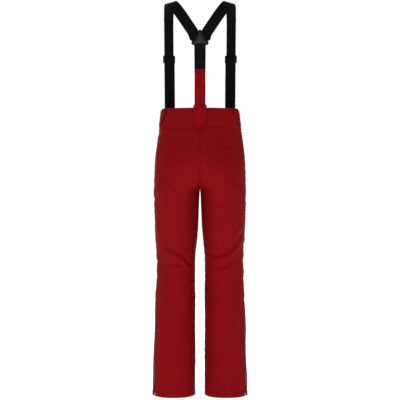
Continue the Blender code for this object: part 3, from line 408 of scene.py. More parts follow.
def turned(profile, steps=32):
    """A round shape: a profile of (radius, height) turned about local Z."""
    profile = np.asarray(profile, float)
    angle = np.linspace(0, 2 * np.pi, steps, endpoint=False)
    r, h = profile[:, :1], np.broadcast_to(profile[:, 1:], (len(profile), steps))
    return poled(np.stack([r * np.cos(angle), r * np.sin(angle), h], axis=-1))


def poled(grid):
    """Closes the two ends of a round grid at one vertex each."""
    rows, columns = grid.shape[:2]
    grid[0], grid[-1] = grid[0].mean(axis=0), grid[-1].mean(axis=0)
    quads = grid_quads(rows, columns, round_columns=True)
    quads[quads < columns] = 0
    last = (rows - 1) * columns
    quads[quads >= last] = last
    points = grid.reshape(-1, 3)
    return outside_out(points, quads, points[:, :2].copy())


# ---------------------------------------------------------------- finishes

def node(tree, kind, inputs=None, **settings):
    """Adds a node. inputs gives each socket a value or the output that feeds it."""
    made = tree.nodes.new(kind)
    for key, value in settings.items():
        setattr(made, key, value)
    for key, value in (inputs or {}).items():
        socket = made.inputs[key]
        if isinstance(value, bpy.types.NodeSocket):
            tree.links.new(value, socket)
        else:
            socket.default_value = value
    return made


def maths(tree, operation, *values, clamp=False):
    made = node(tree, "ShaderNodeMath", dict(enumerate(values)), operation=operation)
    made.use_clamp = clamp
    return made.outputs[0]


def effect(name, inputs, outputs):
    """A node group with named float or vector inputs and float outputs."""
    tree = bpy.data.node_groups.new(name, "ShaderNodeTree")
    for word, kind in inputs.items():
        tree.interface.new_socket(name=word, in_out="INPUT", socket_type=kind)
    for word in outputs:
        tree.interface.new_socket(name=word, in_out="OUTPUT", socket_type="NodeSocketFloat")
    return tree, tree.nodes.new("NodeGroupInput"), tree.nodes.new("NodeGroupOutput")


NUMBER, VECTOR = "NodeSocketFloat", "NodeSocketVector"


def noise_in(tree, vector, scale, detail=3.0, roughness=0.5):
    inputs = {"Vector": vector, "Scale": scale, "Detail": detail, "Roughness": roughness}
    return node(tree, "ShaderNodeTexNoise", inputs).outputs[0]


def make_weave():
    """Plain weave: the product of two sines, one across and one along, roughened by slubs. Its shade is
    the slubs' and wear's tone with a little painted shade in the weave's dips.
    """
    tree, given, result = effect("Plain weave", {"Vector": VECTOR, "Thread": NUMBER},
                                 ("Height", "Shade"))
    turns = maths(tree, "DIVIDE", math.pi, given.outputs["Thread"])
    scaled = node(tree, "ShaderNodeVectorMath", {0: given.outputs["Vector"], "Scale": turns},
                  operation="SCALE").outputs[0]
    parts = node(tree, "ShaderNodeSeparateXYZ", {0: scaled})
    across = maths(tree, "SINE", parts.outputs[0])
    along = maths(tree, "SINE", parts.outputs[1])
    cross = maths(tree, "MULTIPLY", across, along)
    slub = noise_in(tree, scaled, 0.35, 2.0)
    wear = noise_in(tree, scaled, 0.02, 3.0)
    height = maths(tree, "MULTIPLY_ADD", cross, 0.35, slub)
    shade = maths(tree, "MULTIPLY_ADD", slub, 0.14, 0.93)
    shade = maths(tree, "MULTIPLY", shade, maths(tree, "MULTIPLY_ADD", wear, 0.16, 0.92))
    tree.links.new(height, result.inputs["Height"])
    # A little painted shade: the shade follows the weave's height, darker where the threads dip.
    tree.links.new(maths(tree, "MULTIPLY_ADD", cross, 0.03, shade), result.inputs["Shade"])
    return tree


def make_stitching():
    """A line of stitches: thread where the distance from the line is small and the share
    of a stitch's length is under three quarters, in a soft groove."""
    inputs = {"Distance": NUMBER, "Along": NUMBER, "Offset": NUMBER, "Length": NUMBER}
    tree, given, result = effect("Stitching", inputs, ("Thread", "Height"))
    off = maths(tree, "SUBTRACT", given.outputs["Distance"], given.outputs["Offset"])
    off = maths(tree, "ABSOLUTE", off)
    near = maths(tree, "LESS_THAN", off, 0.0005)
    turn = maths(tree, "FRACT", maths(tree, "DIVIDE", given.outputs["Along"], given.outputs["Length"]))
    thread = maths(tree, "MULTIPLY", near, maths(tree, "LESS_THAN", turn, 0.76))
    groove = maths(tree, "SUBTRACT", 1.0, maths(tree, "DIVIDE", off, 0.0022), clamp=True)
    groove = maths(tree, "MULTIPLY", groove, -1.0)
    tree.links.new(thread, result.inputs["Thread"])
    tree.links.new(maths(tree, "ADD", groove, maths(tree, "MULTIPLY", thread, 0.7)),
                   result.inputs["Height"])
    return tree


def make_ribbing():
    """Woven elastic: lengthwise ribs crossed by short picks, each a sine, with lint. Its shade is the
    lint's tone plus painted shade that darkens the ribs' hollows.
    """
    tree, given, result = effect("Ribbed elastic", {"Vector": VECTOR, "Pitch": NUMBER},
                                 ("Height", "Shade"))
    parts = node(tree, "ShaderNodeSeparateXYZ", {0: given.outputs["Vector"]})
    turn = maths(tree, "DIVIDE", 2 * math.pi, given.outputs["Pitch"])
    rib = maths(tree, "SINE", maths(tree, "MULTIPLY", parts.outputs[0], turn))
    picks = maths(tree, "MULTIPLY", turn, 1.6)
    shifted = maths(tree, "ADD", maths(tree, "MULTIPLY", parts.outputs[1], picks),
                    maths(tree, "MULTIPLY", rib, 0.8))
    pick = maths(tree, "SINE", shifted)
    lint = noise_in(tree, given.outputs["Vector"], 700.0, 3.0)
    height = maths(tree, "MULTIPLY_ADD", pick, 0.35, rib)
    tree.links.new(maths(tree, "MULTIPLY_ADD", lint, 0.5, height), result.inputs["Height"])
    # Painted shade: the colour follows the height, lighter on the ribs and darker in their hollows; the
    # lint is real tone.
    shade = maths(tree, "MULTIPLY_ADD", height, 0.16, maths(tree, "MULTIPLY_ADD", lint, 0.7, 0.6))
    tree.links.new(shade, result.inputs["Shade"])
    return tree


def make_grain():
    """Moulded plastic: fine pits, slow flow marks and rubbed places."""
    tree, given, result = effect("Moulded grain", {"Vector": VECTOR, "Size": NUMBER},
                                 ("Height", "Shade", "Rough"))
    scale = maths(tree, "DIVIDE", 1.0, given.outputs["Size"])
    pits = noise_in(tree, given.outputs["Vector"], scale, 2.0, 0.6)
    flow = noise_in(tree, given.outputs["Vector"], maths(tree, "MULTIPLY", scale, 0.06), 3.0)
    tree.links.new(pits, result.inputs["Height"])
    tree.links.new(maths(tree, "MULTIPLY_ADD", flow, 0.5, 0.75), result.inputs["Shade"])
    tree.links.new(maths(tree, "MULTIPLY_ADD", flow, 0.22, -0.11), result.inputs["Rough"])
    return tree


WEAVE, STITCHING, RIBBING, GRAIN = make_weave(), make_stitching(), make_ribbing(), make_grain()


def use(tree, group, **inputs):
    made = node(tree, "ShaderNodeGroup", node_tree=group)
    for word, value in inputs.items():
        if isinstance(value, bpy.types.NodeSocket):
            tree.links.new(value, made.inputs[word])
        else:
            made.inputs[word].default_value = value
    return made.outputs


def new_finish(name, **constants):
    """A material with constants on its shader's own sockets."""
    finish = bpy.data.materials.new(name)
    finish.use_nodes = True
    shader = finish.node_tree.nodes["Principled BSDF"]
    for word, value in constants.items():
        shader.inputs[word.replace("_", " ")].default_value = value
    return finish, finish.node_tree, shader


def tinted(tree, colour, shade):
    """The colour times a shade that changes over the surface."""
    grey = node(tree, "ShaderNodeCombineColor", {0: shade, 1: shade, 2: shade}).outputs[0]
    mix = node(tree, "ShaderNodeMix", data_type="RGBA", blend_type="MULTIPLY")
    mix.inputs[0].default_value = 1.0
    mix.inputs[6].default_value = (*colour, 1.0)
    tree.links.new(grey, mix.inputs[7])
    return mix.outputs[2]


def blended(tree, share, colour, other):
    mix = node(tree, "ShaderNodeMix", data_type="RGBA")
    tree.links.new(share, mix.inputs[0])
    tree.links.new(colour, mix.inputs[6])
    mix.inputs[7].default_value = (*other, 1.0)
    return mix.outputs[2]


def bumped(tree, shader, *layers):
    """Feeds the shader's normal from (height, distance) layers, one after another."""
    normal = None
    for height, distance in layers:
        inputs = {"Height": height, "Distance": distance, "Strength": 1.0}
        if normal:
            inputs["Normal"] = normal
        normal = node(tree, "ShaderNodeBump", inputs).outputs[0]
    tree.links.new(normal, shader.inputs["Normal"])


def map_parts(tree, name):
    uv = node(tree, "ShaderNodeUVMap", uv_map=name).outputs[0]
    return uv, node(tree, "ShaderNodeSeparateXYZ", {0: uv}).outputs


def cloth_finish(name, colour, thread, lines, pitch=0.00055, roughness=0.70, sheen=0.0):
    """Woven cloth with lines of stitches.

    lines holds (map, 0 across or 1 along, distance of the line, which way it runs).
    """
    finish, tree, shader = new_finish(
        name, Sheen_Weight=sheen, Sheen_Roughness=0.45, Specular_IOR_Level=0.03)
    shader.inputs["Sheen Tint"].default_value = (*[min(1.0, 3.0 * c + 0.1) for c in colour], 1.0)
    cloth, along = map_parts(tree, "cloth")
    woven = use(tree, WEAVE, Vector=cloth, Thread=pitch)
    at = node(tree, "ShaderNodeTexCoord").outputs["Object"]
    cloud = noise_in(tree, at, 7.0, 4.0, 0.6)
    shade = maths(tree, "MULTIPLY", woven["Shade"], maths(tree, "MULTIPLY_ADD", cloud, 0.18, 0.91))
    base = tinted(tree, colour, shade)
    layers = [(woven["Height"], 0.00006)]
    for word, part, offset, run in lines:
        _, distances = map_parts(tree, word)
        row = use(tree, STITCHING, Distance=distances[part], Along=along[run], Offset=offset,
                  Length=0.0032)
        base = blended(tree, row["Thread"], base, thread)
        layers.append((row["Height"], 0.0006))
    tree.links.new(base, shader.inputs["Base Color"])
    rough = maths(tree, "MULTIPLY_ADD", woven["Height"], 0.08, roughness - 0.05)
    tree.links.new(rough, shader.inputs["Roughness"])
    bumped(tree, shader, *layers)
    return finish


def elastic_finish(name, colour, pitch):
    finish, tree, shader = new_finish(name, Specular_IOR_Level=0.06)
    cloth, _ = map_parts(tree, "cloth")
    ribbed = use(tree, RIBBING, Vector=cloth, Pitch=pitch)
    tree.links.new(tinted(tree, colour, ribbed["Shade"]), shader.inputs["Base Color"])
    tree.links.new(maths(tree, "MULTIPLY_ADD", ribbed["Height"], 0.05, 0.72), shader.inputs["Roughness"])
    bumped(tree, shader, (ribbed["Height"], 0.00014))
    return finish


def hard_finish(name, colour, roughness, size=0.0006, **constants):
    finish, tree, shader = new_finish(name, **constants)
    at = node(tree, "ShaderNodeTexCoord").outputs["Object"]
    grain = use(tree, GRAIN, Vector=at, Size=size)
    tree.links.new(tinted(tree, colour, grain["Shade"]), shader.inputs["Base Color"])
    tree.links.new(maths(tree, "ADD", grain["Rough"], roughness), shader.inputs["Roughness"])
    bumped(tree, shader, (grain["Height"], 0.00004))
    return finish


def floor_finish():
    """A plain pale floor, lit a little from within so its far edge meets the backdrop."""
    finish, tree, shader = new_finish("Pale studio floor", Specular_IOR_Level=0.1)
    at = node(tree, "ShaderNodeTexCoord").outputs["Object"]
    fine = noise_in(tree, at, 900.0, 2.0)
    shade = maths(tree, "MULTIPLY_ADD", fine, 0.02, 0.98)
    tree.links.new(tinted(tree, (0.94, 0.94, 0.94), shade), shader.inputs["Base Color"])
    tree.links.new(maths(tree, "MULTIPLY_ADD", fine, 0.1, 0.85), shader.inputs["Roughness"])
    bumped(tree, shader, (fine, 0.00005))
    shader.inputs["Emission Color"].default_value = (1.0, 1.0, 1.0, 1.0)
    shader.inputs["Emission Strength"].default_value = 0.90
    return finish


RED = (0.200, 0.0026, 0.0050)
THREAD = (0.13, 0.003, 0.005)
EDGE_ROWS = [("edges", 0, 0.0032, 1), ("edges", 1, 0.0032, 0)]
SHELL = cloth_finish("Red shell cloth", RED, THREAD, [
    ("seams", 0, 0.0065, 1), ("seams", 1, 0.0060, 1), ("ends", 0, 0.0200, 0),
    ("ends", 1, 0.0045, 0), ("front", 0, 0.0035, 1), ("front", 1, 0.0, 1),
    ("front", 1, 0.0060, 1)])
BAND = cloth_finish("Red waistband cloth", RED, THREAD, [
    ("edges", 1, 0.0040, 0), ("edges", 0, 0.0040, 1)])
TAB = cloth_finish("Red tab cloth", RED, THREAD, EDGE_ROWS)
STRAP_CLOTH = cloth_finish("Red strap cloth", RED, THREAD, [
    ("edges", 0, 0.0030, 1), ("edges", 1, 0.0040, 0), ("edges", 1, 0.0120, 0)])
FACING = cloth_finish("Dark red facing", (0.14, 0.004, 0.006), THREAD, EDGE_ROWS)
LINING = cloth_finish("Black lining", (0.016, 0.016, 0.018), (0.05, 0.05, 0.05), EDGE_ROWS,
                      pitch=0.0004, roughness=0.55)
ELASTIC = elastic_finish("Black elastic", (0.0034, 0.0034, 0.0033), 0.0016)
TAPE = elastic_finish("Black zip tape", (0.0060, 0.0060, 0.0065), 0.0008)
PLASTIC = hard_finish("Black moulded plastic", (0.0045, 0.0045, 0.0047), 0.45,
                      Specular_IOR_Level=0.22)
BADGE = hard_finish("Grey moulded badge", (0.021, 0.021, 0.022), 0.45, Specular_IOR_Level=0.20)
COIL = hard_finish("Black nylon coil", (0.0060, 0.0060, 0.0065), 0.40, size=0.0002,
                   Specular_IOR_Level=0.25)
METAL = hard_finish("Dark nickel", (0.13, 0.13, 0.14), 0.30, Metallic=0.9)
FLOOR = floor_finish()


def keep(obj, body, slot, *nodes):
    """The piece moves with a body and stands for these solids. slot is not used."""
    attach(obj, body)
    if nodes:
        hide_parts(*nodes)
    return obj


# ---------------------------------------------------------------- folds

# Each fold is a line of (x, z), its depth and its width, as it lies on the back of a leg.
BACK_FOLDS = (
    ([(-.0256, -.529), (-.0608, -.5359), (-.0886, -.5308), (-.1094, -.5151), (-.1307, -.4938),
      (-.1515, -.4554), (-.1603, -.4346)], .0062, .0075),
    ([(-.1270, -.4591), (-.1343, -.4276), (-.1515, -.4064)], .0030, .0065),
    ([(-.0395, -.5711), (-.0710, -.5780), (-.0955, -.5711), (-.1131, -.5572)], .0034, .0080),
    ([(-.1266, -.6205), (-.1497, -.7834), (-.1610, -.8803), (-.1629, -.9792)], .0030, .0120),
    ([(.0150, -.5180), (.0201, -.5220), (.0447, -.5114)], .0040, .0060),
    ([(.1300, -.5020), (.1146, -.5081), (.0864, -.5220), (.0619, -.5359), (.0373, -.5641),
      (.0234, -.5711)], .0050, .0075),
    ([(.1109, -.5605), (.0794, -.5674), (.0619, -.5659)], .0030, .0070),
    ([(.0267, -.6205), (.0432, -.6461), (.0531, -.6790)], .0030, .0090),
    ([(.1446, -.7669), (.1610, -.8474), (.1658, -.9631)], .0026, .0100),
    ([(-.0853, -.1297), (-.1098, -.1403), (-.1413, -.1542)], .0028, .0060),
    ([(-.1061, -.0949), (-.1290, -.1010), (-.1482, -.1121)], .0022, .0060),
    ([(.0447, -.1648), (.0234, -.1542), (.0095, -.1439)], .0024, .0060),
    ([(.1427, -.1154), (.1150, -.1060), (.0864, -.1018)], .0020, .0060),
    ([(.0304, -.0756), (.0026, -.0788), (-.0289, -.0756)], .0018, .0050),
    ([(-.0200, -.3250), (-.0650, -.3420), (-.1050, -.3500)], .0020, .0100),
    ([(.0200, -.3230), (.0600, -.3380), (.1100, -.3440)], .0020, .0100),
    ([(.0850, -.6600), (.0800, -.7600), (.0950, -.8700)], .0018, .0160),
    ([(-.0700, -.6700), (-.0850, -.7800), (-.0800, -.9000)], .0018, .0160),
)
FRONT_FOLDS = (
    ([(.0100, -.2900), (.0550, -.2750), (.1050, -.2500)], .0042, .0080),
    ([(.0120, -.3150), (.0600, -.3120), (.1200, -.3000)], .0034, .0085),
    ([(.0250, -.4800), (.0650, -.4950), (.1150, -.4860)], .0030, .0090),
    ([(.0300, -.6300), (.0800, -.6450), (.1300, -.6350)], .0034, .0090),
    ([(.0450, -.6850), (.0850, -.6960), (.1250, -.6900)], .0026, .0100),
    ([(.1150, -.7200), (.1300, -.8300), (.1420, -.9600)], .0026, .0130),
    ([(.0550, -.7600), (.0500, -.8700), (.0600, -.9700)], .0022, .0140),
    ([(-.0100, -.2950), (-.0500, -.2860), (-.1000, -.2640)], .0040, .0080),
    ([(-.0140, -.3200), (-.0620, -.3230), (-.1150, -.3080)], .0036, .0085),
    ([(-.0300, -.4700), (-.0800, -.4860), (-.1250, -.4750)], .0028, .0090),
    ([(-.0280, -.6180), (-.0750, -.6330), (-.1260, -.6240)], .0034, .0090),
    ([(-.0500, -.6900), (-.0900, -.7040), (-.1300, -.6950)], .0026, .0100),
    ([(-.1180, -.7400), (-.1340, -.8400), (-.1430, -.9700)], .0026, .0130),
    ([(-.0620, -.7500), (-.0520, -.8600), (-.0640, -.9800)], .0022, .0140),
)


def fold(flat, line, depth, width):
    """A fold in the cloth, at points flattened to two coordinates.

    With s the signed distance from the line over the width, the height is the depth times a
    valley, -0.6 exp(-s^2) less 0.4 of a narrower one, plus a lower hump on each side. It
    fades at the line's ends.
    """
    line = np.asarray(line)
    nearest = np.full(flat.shape[:-1], np.inf)
    signed = np.zeros_like(nearest)
    share = np.zeros_like(nearest)
    for k, (a, b) in enumerate(zip(line, line[1:])):
        step, reach = b - a, flat - a
        t = np.clip(reach @ step / (step @ step), 0, 1)
        off = reach - t[..., None] * step
        distance = np.linalg.norm(off, axis=-1)
        sign = np.sign(step[0] * reach[..., 1] - step[1] * reach[..., 0])
        closer = distance < nearest
        nearest = np.where(closer, distance, nearest)
        signed = np.where(closer, sign * distance, signed)
        share = np.where(closer, (k + t) / (len(line) - 1), share)
    s = signed / width
    taper = np.sqrt(np.clip(np.sin(np.pi * np.clip(share, 0.03, 0.97)), 0, 1))
    valley = -0.6 * np.exp(-s**2) - 0.4 * np.exp(-((s - 0.15) / 0.42) ** 2)
    humps = 0.55 * np.exp(-((np.abs(s) - 1.9) / 1.2) ** 2) * (1 + 0.4 * np.sign(s))
    return depth * taper * (valley + humps)


def waves(points, length, seed, count=7):
    """The mean of plane waves in seeded directions, with wavelengths round the length."""
    rng = np.random.default_rng(seed)
    directions = unit(rng.normal(size=(count, 3))) * rng.uniform(0.7, 1.5, (count, 1))
    phases = rng.uniform(0, 2 * np.pi, count)
    return np.sin(points @ directions.T * (2 * np.pi / length) + phases).mean(axis=-1) * 2


# ---------------------------------------------------------------- zips, as lines

def outseam_angle(z):
    """The outseam, which swings back under the knee to carry the ankle zip."""
    return ANKLE_ZIP_ANGLE * np.clip((SWING_TOP_Z - z) / (SWING_TOP_Z - CALF_Z), 0, 1)


def pocket_angle(z):
    foot = POCKET_TOP_Z - POCKET_LENGTH
    share = np.clip((z - foot) / POCKET_LENGTH, 0, 1)
    return POCKET_ANGLES[0] + (POCKET_ANGLES[1] - POCKET_ANGLES[0]) * share


TAPE_WIDTH = 0.018


def normal_at(z, angle, side):
    step = 1e-3
    across = cloth_at(z, angle + step, 0, side) - cloth_at(z, angle - step, 0, side)
    along = cloth_at(z + step, angle, 0, side) - cloth_at(z - step, angle, 0, side)
    return unit(np.cross(across, along) * side)


def zip_line(low, high, angle_at, normal, side):
    """A straight line over the cloth between two heights, clear of its highest point.

    Gives its foot, its direction, its outward direction and how far under it the cloth
    lies at its lowest, over the width of the tape.
    """
    z = np.linspace(low, high, 13)
    angle = angle_at(z)
    reach = TAPE_WIDTH / 2 / section(z)[1]
    ridge = cloth_at(z, angle, 0, side)
    edges = [cloth_at(z, angle + sign * reach, 0, side) for sign in (-1, 1)]
    along = unit(ridge[-1] - ridge[0])
    outward = unit(normal - along * (normal @ along))
    rise = (ridge - ridge[0]) @ outward
    lowest = min((p - ridge[0]) @ outward for p in np.concatenate([ridge, *edges]))
    return ridge[0] + outward * rise.max(), along, outward, rise.max() - lowest


def fly_line():
    return zip_line(FLY_FOOT_Z, FLY_TOP_Z, lambda z: -angle_at_x(z, 0), -Y, 1)


def pocket_line(side):
    low = POCKET_TOP_Z - POCKET_LENGTH
    normal = normal_at((low + POCKET_TOP_Z) / 2, sum(POCKET_ANGLES) / 2, side)
    return zip_line(low, POCKET_TOP_Z, pocket_angle, normal, side)


def ankle_line(side):
    low = HEM_Z + ANKLE_ZIP_BASE
    normal = normal_at(low + ANKLE_ZIP_LENGTH / 2, ANKLE_ZIP_ANGLE, side)
    return zip_line(low, ZIP_TOP_Z, lambda z: np.full(np.shape(z), ANKLE_ZIP_ANGLE), normal, side)


# ---------------------------------------------------------------- legs

def leg_rows():
    """Heights of the shell's rows, closer together just above the crotch."""
    foot = POCKET_TOP_Z - POCKET_LENGTH
    crotch = CROTCH_Z + (FLY_FOOT_Z - CROTCH_Z) * np.linspace(0, 1, 26) ** 1.7
    parts = [np.linspace(HEM_Z, ZIP_TOP_Z, 72), np.linspace(ZIP_TOP_Z, KNEE_Z, 54),
             np.linspace(KNEE_Z, CROTCH_Z, 68), crotch[crotch < foot],
             np.array([foot, FLY_FOOT_Z]), np.linspace(FLY_FOOT_Z, POCKET_TOP_Z, 34),
             np.linspace(POCKET_TOP_Z, SEAM_Z - SEAM_GAP / 2, 5)]
    return np.unique(np.round(np.concatenate(parts), 7))


def opened(z, low, high):
    """1 between two heights, tapering to 0 just outside them."""
    return np.clip((z - low) / SLIT_TAPER + 1, 0, 1) * np.clip((high - z) / SLIT_TAPER + 1, 0, 1)


FRONT_CELLS, HIP_CELLS, BACK_CELLS = 54, 18, 70
SEAM_HALF = 0.0010


def leg_shell(word, side):
    """One leg and its half of the seat, from the front middle seam round to the back one.

    Row z, column u is the leg's ellipse at an angle that runs evenly between the front
    edge, the two edges of the pocket's slit, the two of the outseam, and the back edge.
    Each point then moves along the normal by seams, folds and slow waves.
    """
    z = leg_rows()
    foot = POCKET_TOP_Z - POCKET_LENGTH
    half = section(z)[1]
    reach_front = -SEAM_LAP + (ZIP_SLIT + SEAM_LAP) * opened(z, FLY_FOOT_Z, 0)
    front = np.where(z > CROTCH_Z, angle_at_x(z, reach_front), np.pi)
    back = np.where(z > CROTCH_Z, angle_at_x(z, -SEAM_LAP), np.pi)
    pocket_open = opened(z, foot, POCKET_TOP_Z)
    pocket = pocket_angle(z)
    pocket_half = (SEAM_HALF + (ZIP_SLIT - SEAM_HALF) * pocket_open) / half
    ankle_open = opened(z, HEM_Z - 1, ZIP_TOP_Z)
    out = outseam_angle(z)
    out_half = (SEAM_HALF + (ZIP_SLIT - SEAM_HALF) * ankle_open) / half
    targets = np.stack([-front, pocket - pocket_half, pocket + pocket_half,
                        out - out_half, out + out_half, back], axis=-1)
    cells = np.array([FRONT_CELLS, 1, HIP_CELLS, 1, BACK_CELLS])
    share = np.concatenate([np.arange(n) / n for n in cells] + [[0.0]])
    knot = np.concatenate([np.repeat(np.arange(5), cells), [5]])
    after = np.minimum(knot + 1, 5)
    angle = targets[:, knot] * (1 - share) + targets[:, after] * share
    grid = eased_at_crotch(cloth_at(z[:, None], angle, 0, side), angle, side)
    rows, columns = angle.shape

    # Distances over the cloth: from the outseam, from the edges, and up the leg.
    u = np.zeros((rows, columns))
    u[:, 1:] = np.cumsum(np.linalg.norm(np.diff(grid, axis=1), axis=2), axis=1)
    pocket_column = FRONT_CELLS
    out_column = FRONT_CELLS + 1 + HIP_CELLS
    u_out = (u[:, out_column] + u[:, out_column + 1])[:, None] / 2
    u_pocket = (u[:, pocket_column] + u[:, pocket_column + 1])[:, None] / 2
    from_out = u - u_out
    from_edge = np.minimum(u, u[:, -1:] - u)
    height = np.broadcast_to(z[:, None], u.shape)
    middle_z = (foot + POCKET_TOP_Z) / 2
    past_end = np.abs(height - middle_z) - POCKET_LENGTH / 2
    past_side = np.abs(u - u_pocket) - ZIP_SLIT
    from_pocket = np.maximum(past_end, past_side)
    curve_z = FLY_FOOT_Z + 0.030
    from_fly = np.hypot(grid[..., 0], np.minimum(height - curve_z, 0)) - 0.034
    has_fly = (angle < 0) & (side > 0)
    from_fly = np.where(has_fly, from_fly, 0.5)

    # The cloth's outward direction.
    along = np.gradient(grid, axis=0)
    around = np.gradient(grid, axis=1)
    normal = unit(np.cross(around, along) * side)
    welded = z <= CROTCH_Z
    seam_normal = unit(normal[:, 0] + normal[:, -1])
    normal[welded, 0] = seam_normal[welded]
    normal[welded, -1] = seam_normal[welded]

    # Folds where the cloth faces back and front, then seams and slow waves.
    flat = grid[..., [0, 2]]
    faces_back = ramp(normal[..., 1], 0.08, 0.60)
    faces_front = ramp(-normal[..., 1], 0.08, 0.60)
    rise = np.zeros((rows, columns))
    for line, depth, width in BACK_FOLDS:
        if np.sign(line[-1][0]) == side:
            rise += faces_back * fold(flat, line, depth, width)
    for line, depth, width in FRONT_FOLDS:
        if np.sign(line[-1][0]) == side:
            rise += faces_front * fold(flat, line, depth, width)
    outer_side = ramp(np.cos(angle), 0.3, 0.9)
    for k, level in enumerate((-0.330, -0.498, -0.556, -0.618, -0.700)):
        line = [(-0.075, level + 0.012), (0.0, level - 0.006), (0.070, level + 0.010 - 0.006 * k)]
        rise += outer_side * fold(grid[..., 1:], line, 0.0012, 0.011)
    rise += 0.0013 * waves(grid * (1.0, 1.0, 0.45), 0.085, 11 + side)
    rise += 0.0005 * waves(grid, 0.034, 23 + side)
    seat = ramp(height, CROTCH_Z + 0.02, CROTCH_Z + 0.10)
    rise *= 1 - 0.35 * seat
    puckers = waves(grid * (0.3, 0.3, 1.6), 0.028, 31 + side)
    for distance, strength in ((from_out, 1.0), (from_edge, 1.0)):
        rise += 0.0007 * strength * puckers * np.exp(-(distance / 0.016) ** 2)
        rise += 0.0009 * np.exp(-((np.abs(distance) - 0.0060) / 0.0045) ** 2)
        rise -= 0.0012 * np.exp(-(distance / 0.0022) ** 2)
    hem = np.exp(-((height - HEM_Z - 0.020) / 0.0030) ** 2)
    rise += -0.0007 * hem + 0.0006 * ramp(HEM_Z + 0.018 - height, 0, 0.006)
    rise += 0.0007 * waves(grid, 0.030, 47 + side) * ramp(HEM_Z + 0.035 - height, 0, 0.02)
    top_seam = SEAM_Z - height
    rise += -0.0010 * np.exp(-(top_seam / 0.0028) ** 2)
    rise += 0.0008 * puckers * np.exp(-((top_seam - 0.008) / 0.010) ** 2)
    still = ramp(from_edge, 0, 0.010)
    rise = rise * np.where(welded[:, None], still, 0.35 + 0.65 * still)
    near_slit = np.exp(-(np.maximum(past_side, 0) / 0.008) ** 2) * pocket_open[:, None]
    near_ankle = np.exp(-(np.maximum(np.abs(from_out) - ZIP_SLIT, 0) / 0.008) ** 2) * ankle_open[:, None]
    rise *= (1 - 0.8 * near_slit) * (1 - 0.8 * near_ankle)

    # Cloth beside a zip stands up to the level of its straight line.
    for line, column, near in ((pocket_line(side), pocket_column, near_slit),
                               (ankle_line(side), out_column, near_ankle)):
        origin, _, outward, _ = line
        at = (grid[:, column] + grid[:, column + 1]) / 2
        lift = np.clip((origin - at) @ outward, 0, 0.006)
        rise += near * lift[:, None]
    # Between the legs the cloth stays clear of the other leg, and at the middle seam it
    # moves up and down or in and out but not across.
    inner_side = ramp(-np.cos(angle), 0.2, 0.8) * ramp(height, THIGH_Z - 0.05, CROTCH_Z - 0.01)
    inner_side *= 1 - ramp(height, CROTCH_Z, CROTCH_Z + 0.040)
    rise *= 1 - 0.9 * inner_side
    move = normal * rise[..., None]
    at_middle = np.where(height > CROTCH_Z, ramp(from_edge, 0, 0.012), 1)
    move[..., 0] *= at_middle
    grid = grid + move

    maps = {
        "cloth": np.stack([from_out, height], axis=-1),
        "seams": np.stack([from_out, from_edge], axis=-1),
        "ends": np.stack([height - HEM_Z, SEAM_Z - height], axis=-1),
        "front": np.stack([from_pocket, from_fly], axis=-1),
    }
    maps = {key: pairs.reshape(-1, 2) for key, pairs in maps.items()}
    index = np.arange(rows * columns).reshape(rows, columns)
    weld = index.copy()
    weld[welded, -1] = index[welded, 0]
    quads = grid_quads(rows, columns)
    row, column = np.divmod(quads[:, 0], columns)
    in_pocket = ((column == pocket_column) & (z[row] >= foot - 1e-6)
                 & (z[row + 1] <= POCKET_TOP_Z + 1e-6))
    in_ankle = (column == out_column) & (z[row + 1] <= ZIP_TOP_Z + 1e-6)
    quads = quads[~(in_pocket | in_ankle)]
    if side < 0:
        quads = quads[:, ::-1]
    shell = thick_cloth(f"{word}_leg_shell", grid.reshape(-1, 3), quads, maps, CLOTH,
                        (SHELL, LINING), weld.ravel())
    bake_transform(shell)
    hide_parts(*[f"{word}_{face}_{part}" for face in ("back", "front")
                         for part in ("thigh", "knee", "shin")])
    return shell


# ---------------------------------------------------------------- waist

FACING_THICKNESS = 0.0018
BAND_THICKNESS = 0.0034


def waist_top(angle):
    """The waistband's top edge, level at the back and sides and lower in front."""
    forward = np.maximum(0, -np.sin(angle))
    return -FRONT_DROP * forward**2 * (3 - 2 * forward)


def waist_grid(start, end, foot, proud, side, rows, columns, trim=0.0):
    """Points over the waist: the angle runs from start to end and the height from the foot
    to the top edge. start and end may change with the height's share."""
    level = np.linspace(0, 1, rows)[:, None]
    share = np.linspace(0, 1, columns)[None]
    first = start(level) if callable(start) else start
    last = end(level) if callable(end) else end
    angle = first + (last - first) * share
    top = waist_top(angle) - trim
    z = foot + (top - foot) * level
    return cloth_at(z, angle, proud, side), z, angle


def soft_band(name, start, end, side, columns, outward, nodes, seed):
    """A waistband: padded between its two rows of stitches, with short pulls along them."""
    grid, z, angle = waist_grid(start, end, SEAM_Z + SEAM_GAP / 2, 0.0, side, 26, columns)
    normal = np.stack([side * np.cos(angle), np.sin(angle), 0 * angle], axis=-1)
    level = (z - SEAM_Z) / (waist_top(angle) - SEAM_Z)
    pad = 0.0010 * np.sin(np.pi * np.clip(level, 0, 1)) ** 0.6
    pulls = 0.0009 * waves(grid * (1, 1, 0.4), 0.020, seed) * np.sin(np.pi * np.clip(level, 0, 1))
    pulls += 0.0010 * waves(grid * (1, 1, 0.2), 0.060, seed + 1)
    grid = grid + normal * (pad + pulls)[..., None]
    obj = cloth_sheet(name, grid, BAND_THICKNESS, (BAND, LINING), outward)
    keep(obj, "trousers", "red_shell_cloth", *nodes)


SIDE_TAB = (math.radians(-12), math.radians(16), math.radians(33))
SIDE_TAB_MARGIN = 0.006
SIDE_TAB_STAND_OFF = 0.0026


